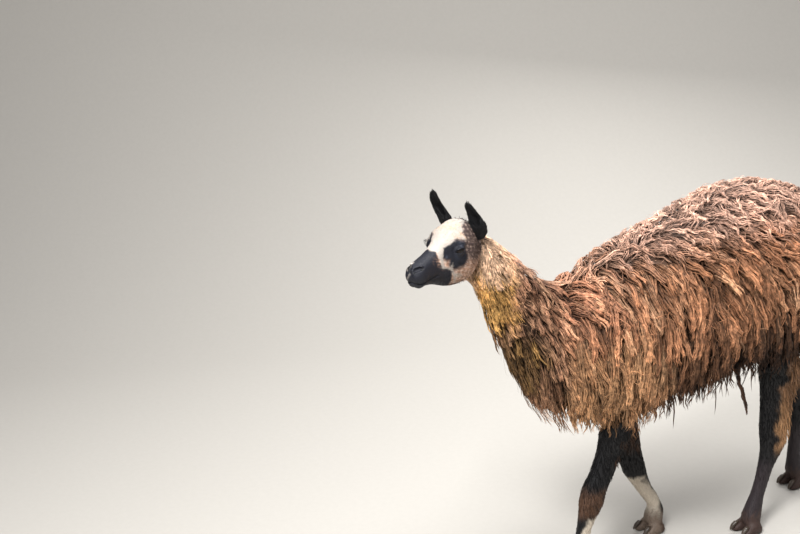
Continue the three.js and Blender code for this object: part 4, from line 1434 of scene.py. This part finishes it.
# %% Wisps
def wisps(draw, roots, out, way, length, rise, droop, spread, width, steps=7, tuck=0.002):
    """Curved paths: rise is how far they start out of the skin, droop how much they fall."""
    n = len(roots)
    marks = np.linspace(0, 1, steps)
    t = marks[None, :, None]
    reach = (length * draw.uniform(0.7, 1.25, n))[:, None, None]
    way = unit(way + draw.normal(0, spread, (n, 3)))
    start = unit(along_surface(way, out) + rise * out)[:, None, :]
    end = unit(along_surface(way, out, 0.6) + droop * DOWN)[:, None, :]
    curve = start * (t - 0.5 * t ** 2) + end * 0.5 * t ** 2
    paths = roots[:, None, :] - tuck * out[:, None, :] + reach * curve
    bend = np.sin(t * draw.uniform(3, 6, (n, 1, 1)) + draw.uniform(0, 6, (n, 1, 1)))
    side = unit(np.cross(way, out))[:, None, :]
    paths = paths + bend * side * reach * 0.05 * t
    outs = np.repeat(out[:, None, :], steps, axis=1)
    return roots, paths, outs, width * draw.uniform(0.7, 1.3, n), marks


def hang_wisps(name, made, tint, material, unwrap, tone=None):
    roots, paths, outs, wide, marks = made
    tone = draw.uniform(0.25, 0.75, len(roots)) if tone is None else tone
    hang_up(name, material, (roots, paths, outs, wide, tint, tone, marks), unwrap)


def chosen_roots(test, spacing, region):
    """Even roots on the faces of a region whose middles pass a test."""
    return sow(region & test(FACE_MIDDLE), spacing * THIN, draw)


def head_test(low, high):
    """True for places in a box of the head's own axes, its sides folded together, in mm."""
    def test(points):
        here = in_head(points) * 1000.0
        here[:, 1] = abs(here[:, 1])
        return np.all((here > low) & (here < high), axis=1)
    return test


# Between the ears: a black and grey forelock that stands up and falls forward.
roots, out = chosen_roots(head_test((-42, 0, -14), (4, 46, 60)), 0.0036, in_face | (FACE_REGION == "neck"))
way = np.tile(0.35 * HEAD_AXES[0] + 0.4 * HEAD_AXES[2], (len(roots), 1))
tint = layered(roots, EYE_GREY, [(WHITE, smooth(ripple(roots, 0.012, 71), 0.3, 0.9) * 0.5)])
hang_wisps("forelock", wisps(draw, roots, out, way, 0.015, 0.55, 0.1, 0.3, 0.0012), tint, FACE_HAIR,
           around_head)

# Over the far eye: a pale tuft that breaks the outline of the brow.
def far_brow(points):
    here = in_head(points) * 1000.0
    return np.linalg.norm(here - [112, -54, -38], axis=1) < 13


roots, out = chosen_roots(far_brow, 0.0032, in_face)
way = np.tile(-HEAD_AXES[1] + 0.3 * HEAD_AXES[2], (len(roots), 1))
tint = layered(roots, WHITE, [(EYE_GREY, smooth(ripple(roots, 0.008, 72), 0.0, 0.8) * 0.5)])
hang_wisps("brow_tuft", wisps(draw, roots, out, way, 0.010, 0.6, 0.2, 0.25, 0.0010), tint, FACE_HAIR,
           around_head)

# Along the back of the jaw: grizzled hair that runs onto the neck.
roots, out = chosen_roots(head_test((-60, 20, -196), (60, 90, -20)), 0.0054, in_face)
way = np.tile(-HEAD_AXES[0] - 0.9 * HEAD_AXES[2], (len(roots), 1))
hang_wisps("jaw_hair", wisps(draw, roots, out, way, 0.022, 0.25, 0.20, 0.18, 0.0016),
           pelt(roots, np.full(len(roots), "head")), FACE_HAIR, around_head)

# %% Leg fringes
def leg_test(low, high, rear_from, names):
    """True for places on some legs between two heights, on the rear side or all round."""
    def test(points):
        good = np.zeros(len(points), bool)
        for name in names:
            line = centre_line(name, points[:, 2])
            good |= (FACE_REGION == name) & (points[:, 1] - line[:, 1] > rear_from)
        return good & (points[:, 2] > low) & (points[:, 2] < high)
    return test


def fringe_of(names, low, high, rear_from, spacing, length, rise, width):
    roots, out = chosen_roots(leg_test(low, high, rear_from, names), spacing, in_leg)
    way = np.tile(DOWN + 0.25 * REAR, (len(roots), 1))
    return roots, wisps(draw, roots, out, way, length, rise, 0.5, 0.16, width)


FRINGES = [
    ("thigh_fringe", ["hindleg_left", "hindleg_right"], 0.40, 0.78, 0.012, 0.0095, 0.060, 0.30, 0.0040),
    ("forearm_fringe", ["foreleg_left", "foreleg_right"], 0.44, 0.62, 0.012, 0.0085, 0.030, 0.16, 0.0030),
    ("knee_wool", ["foreleg_left"], 0.262, 0.345, -1.0, 0.0066, 0.017, 0.30, 0.0030),
]
for title, names, low, high, rear_from, spacing, length, rise, width in FRINGES:
    roots, made = fringe_of(names, low, high, rear_from, spacing, length, rise, width)
    which = regions(roots)
    tint = pelt(roots, which)
    if title == "forearm_fringe":
        tint = blend(tint, LEG_BROWN, 0.6 * smooth(ripple(roots, 0.05, 73), -0.4, 0.6))
    hang_wisps(title, made, tint, LEG_HAIR, lambda p: around_legs(p, regions(p)))

# %% [markdown]
# ## The hem
# Under the belly the wool hangs free as a dark ragged edge. Its wisps are about as long as the
# coat is deep there, each a little more or less, and longer from the middle of the belly back.

# %% The hem under the belly
low_belly = woolly & (FACE_NORMAL[:, 2] < -0.30) & (FACE_MIDDLE[:, 2] < 0.80)
roots, out = sow(low_belly, 0.0200 * THIN, draw)
drop = np.clip(-OUTER.at(roots), 0.02, 0.10) * draw.uniform(0.95, 1.35, len(roots))
drop = drop * (1 + 0.3 * smooth(roots[:, 1], -0.10, 0.0))
drop = drop / np.clip(-out[:, 2], 0.45, 1.0)
way = np.tile(DOWN + 0.1 * REAR, (len(roots), 1)) + 0.25 * out * [1, 1, 0]
made = wisps(draw, roots, out, way, 1.0, 0.35, 1.6, 0.10, 0.0052, 8)
paths = roots[:, None] + (made[1] - roots[:, None]) * drop[:, None, None]
tint = pelt(paths[:, 4])
hang_wisps("hem", (roots, paths, *made[2:]), tint, FLEECE, around)

# %% The matted lock on the flank
def rope_lock(count, steps):
    """Strands that wind round the middle line of the flank lock's solid."""
    corners, _ = node_mesh(["flank_lock"])
    low, high = corners[:, 2].min(), corners[:, 2].max()
    z = np.linspace(high + 0.02, low, steps)
    near = np.exp(-((np.clip(z, low + 0.01, high - 0.02)[:, None] - corners[None, :, 2]) / 0.025) ** 2)
    line = near @ corners / near.sum(axis=1, keepdims=True)
    line[:, 2] = z
    marks = np.linspace(0, 1, steps)
    half = 0.008 * np.interp(marks, [0, 0.7, 1], [0.9, 0.8, 0.35])
    angle = draw.uniform(0, 6.3, (count, 1)) + 17 * marks[None] * draw.uniform(0.8, 1.2, (count, 1))
    off = half[None] * draw.uniform(0.35, 1.0, (count, 1))
    ring = np.stack([np.cos(angle), np.sin(angle), 0 * angle], axis=2)
    paths = line[None] + off[..., None] * ring
    return line[[2] * count], paths, ring, np.full(count, 0.0042), marks


ROPE_STRANDS, ROPE_STEPS = 22, 26
made = rope_lock(ROPE_STRANDS, ROPE_STEPS)
hang_wisps("flank_lock_wool", made, np.tile(THIGH * 1.5, (ROPE_STRANDS, 1)), FLEECE, around)

# %% [markdown]
# ## Eyes
# A llama's eye is large, dark brown and set to the side, with a long level pupil. The eyeball
# is a ball with the clear front of the eye swelling from it, and the colours are rings round
# the direction of its gaze. Its wet coat is what makes an eye look alive, so the shader has a
# clear coat with the IOR of tears.

# %% Eyeballs
def eye_material():
    """Wet eye: near-black pupil, dark brown iris, brown white of the eye, under a clear coat."""
    material, tree, shader = new_material("eye of a llama", Roughness=0.22, IOR=1.38, Coat_Weight=0.4,
                                          Coat_Roughness=0.03, Coat_IOR=1.34)
    axes = add_node(tree, "ShaderNodeSeparateXYZ", {0: attribute(tree, "look", "Vector")}).outputs
    flat = add_node(tree, "ShaderNodeCombineXYZ", {"X": axes[0], "Y": axes[1], "Z": 0.0}).outputs[0]
    far = add_node(tree, "ShaderNodeVectorMath", {0: flat}, operation="LENGTH").outputs["Value"]
    iris = add_node(tree, "ShaderNodeMapRange", {"Value": far, "From Max": 1.0}).outputs[0]
    stops = [(0.0, "#160d07"), (0.40, "#26170c"), (0.60, "#130b07"), (0.68, "#0c0808"), (1.0, "#140e0d")]
    rings = ramp(tree, iris, [(place, paint(code)) for place, code in stops])
    squeezed = add_node(tree, "ShaderNodeVectorMath", {0: flat, 1: (1.0, 2.1, 1.0)},
                        operation="MULTIPLY").outputs[0]
    pupil = add_node(tree, "ShaderNodeVectorMath", {0: squeezed}, operation="LENGTH").outputs["Value"]
    dress(tree, shader, multiply(tree, rings, ramp(tree, pupil, [(0.36, 0.05), (0.42, 1.0)])))
    return material


def eyeball(name, side, material):
    rings, parts = 36, 56
    out = HEAD_AXES.T @ GAZE[side]
    level = unit(np.cross(DOWN, out))
    over = np.cross(out, level)
    polar = np.linspace(0, math.pi, rings + 1)[1:-1, None]
    turn_ = np.linspace(0, 2 * math.pi, parts, endpoint=False)[None, :]
    local = np.stack([np.sin(polar) * np.cos(turn_), np.sin(polar) * np.sin(turn_),
                      np.cos(polar) + 0 * turn_], axis=2).reshape(-1, 3)
    local = np.concatenate([local, [[0, 0, 1.0], [0, 0, -1.0]]])
    bulge = 1.0 + 0.05 * smooth(local[:, 2], 0.72, 0.95)               # the clear front of the eye
    corners = middle(name) + (local * bulge[:, None] * (EYE_RADIUS - 0.0002)) @ np.stack([level, over, out])
    faces = []
    for ring in range(rings - 2):
        for part in range(parts):
            one, two = ring * parts + part, ring * parts + (part + 1) % parts
            faces += [(one, two + parts, two), (one, one + parts, two + parts)]
    top, bottom, last = len(local) - 2, len(local) - 1, (rings - 2) * parts
    faces += [(top, part, (part + 1) % parts) for part in range(parts)]
    faces += [(bottom, last + (part + 1) % parts, last + part) for part in range(parts)]
    piece = mesh_object(name.replace("eye", "eyeball"), corners, np.array(faces))
    store(piece.data, "look", local)
    piece.data.materials.append(material)
    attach(piece, "root")
    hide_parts(name)


EYE = eye_material()
eyeball("eye_left", 1, EYE)
eyeball("eye_right", -1, EYE)

# %% Lashes
LASHES = hair_material("lashes", 1.0, 1.0, 0.4, 5.0)
LASH_COUNT = 34


def lashes(side, count):
    """Long lashes along the edge of the upper lid."""
    centre, out, long, over = eye_axes(side)
    u = np.linspace(-0.9, 0.9, count) + draw.normal(0, 0.02, count)
    half, tall = OPENING[0] / 2, OPENING[1] / 2
    edge = u[:, None] * half * long + (tall * (1 - u[:, None] ** 2)) * over
    deep = np.sqrt((EYE_RADIUS + LID * 0.7) ** 2 - (edge ** 2).sum(axis=1, keepdims=True))
    roots = centre + edge + deep * out
    way = unit(out - 0.15 * over + 0.4 * u[:, None] * long)
    t = np.linspace(0, 1, 6)[None, :, None]
    reach = 0.010 * draw.uniform(0.7, 1.2, (count, 1, 1))
    paths = roots[:, None] + reach * (way[:, None] * t + 0.30 * (t ** 2 - t) * over + 0.25 * t ** 2 * over)
    turned = (paths.reshape(-1, 3) @ HEAD_AXES + POLL).reshape(paths.shape)
    outs = np.tile(over @ HEAD_AXES, (count, 6, 1))
    return from_head(roots), turned, outs, np.full(count, 0.0007), np.linspace(0, 1, 6)


for side, title in ((1, "lashes_left"), (-1, "lashes_right")):
    made = lashes(side, LASH_COUNT)
    hang_wisps(title, made, np.tile(BLACK, (LASH_COUNT, 1)), LASHES, around_head)

# %% [markdown]
# ## Nails
# A llama walks on two soft toes with a curved nail on each. The nails are horn: dark, ridged
# across by growth and worn smooth, so the pattern is a fine band along the height.

# %% Nails
def nail_material():
    """Horn: dark grey-brown, banded by growth every two millimetres, slightly polished."""
    material, tree, shader = new_material("nail horn", Roughness=0.42, IOR=1.54)
    place = object_place(tree)
    bands = add_node(tree, "ShaderNodeTexWave", {"Vector": place, "Scale": 1000.0 / 2.0 / 6.28,
                                                 "Distortion": 2.5, "Detail": 2.0},
                     bands_direction="Z").outputs["Fac"]
    base = between(tree, noise(tree, place, 1000.0 / 12.0), "#2b2420", "#5a4c3e")
    colour = multiply(tree, base, ramp(tree, bands, [(0.2, 0.8), (0.8, 1.1)]))
    dress(tree, shader, colour, bands, 0.0004, 0.6)
    return material


NAIL = nail_material()
NAILS = sorted(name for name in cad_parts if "nail" in name)
for name in NAILS:
    low, high = (np.array(corner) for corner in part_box(name))
    field = distances([name], 0.0015, 0.006, low - 0.006, high + 0.006)
    field.values = np.maximum(blur(field.values, 0.9), -(field.points()[2] - low[2]))
    nail = mesh_object("rounded_" + name, *surface(field))
    nail.data.materials.append(NAIL)
    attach(nail, "root")
    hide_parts(name)

# %% The skin stands for the flesh
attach(skin, "root")
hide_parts(*BODY, *EARS, *LEGS)
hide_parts("flank_lock")

# %% [markdown]
# ## Floor and light
# The llama stands on a plain pale floor that curves up behind it, under one large soft light
# from above the camera's left, a broad light overhead, a little fill and one light from behind on
# the far side, as a photographer lights an animal: soft enough to see into the fleece, strong
# enough to shape the locks.

# %% Studio
def floor_sweep(width, front, back, height, bend):
    """A floor that curves up into a wall behind the llama, seen from the camera."""
    toward = camera_axes(AZIMUTH, ELEVATION, 0)[2]
    turn_ = math.atan2(toward.y, toward.x)
    profile = [(front, 0.0), (-back + bend, 0.0)]
    for k in range(1, 17):
        angle = k / 16 * math.pi / 2
        profile.append((-back + bend - bend * math.sin(angle), bend - bend * math.cos(angle)))
    profile.append((-back, height))
    rows = np.array(profile)
    corners = np.array([(x, side * width, z) for x, z in rows for side in (-1, 1)])
    c, s = math.cos(turn_), math.sin(turn_)
    corners = np.stack([corners[:, 0] * c - corners[:, 1] * s, corners[:, 0] * s + corners[:, 1] * c,
                        corners[:, 2]], axis=1)
    faces = [(2 * k, 2 * k + 1, 2 * k + 3, 2 * k + 2) for k in range(len(rows) - 1)]
    mesh = bpy.data.meshes.new("floor")
    mesh.from_pydata(corners.tolist(), [], faces)
    mesh.polygons.foreach_set("use_smooth", np.ones(len(faces), bool))
    return in_scene("floor", mesh)


def floor_material():
    """Matt paper sweep: pale warm grey, with a trace of fibre."""
    material, tree, shader = new_material("matt studio paper", Roughness=0.9)
    fibre = noise(tree, object_place(tree), 40.0, 4.0)
    dress(tree, shader, between(tree, fibre, "#b9b5ae", "#bfbbb4"))
    return material


floor = floor_sweep(14.0, 9.0, 5.5, 7.0, 3.0)
floor.data.materials.append(floor_material())

AIM = Vector((0.0, 0.0, 0.8))
LIGHTS = [("key", (2.4, -2.8, 4.6), 360, 1.4), ("overhead", (0.4, 0.8, 4.6), 230, 3.0),
          ("fill", (4.0, 1.6, 1.6), 14, 3.0), ("rim", (-3.2, 2.2, 3.0), 90, 1.6)]
for title, place, power, size in LIGHTS:
    light = bpy.data.lights.new(title, "AREA")
    light.energy, light.size = power, size
    lamp = in_scene(title, light)
    lamp.location = place
    lamp.rotation_euler = (Vector(place) - AIM).to_track_quat("Z", "Y").to_euler()
world = bpy.data.worlds.new("studio air")
world.use_nodes = True
world.node_tree.nodes["Background"].inputs["Color"].default_value = (0.17, 0.17, 0.18, 1.0)
bpy.context.scene.world = world
bpy.context.scene.view_settings.view_transform = "Standard"
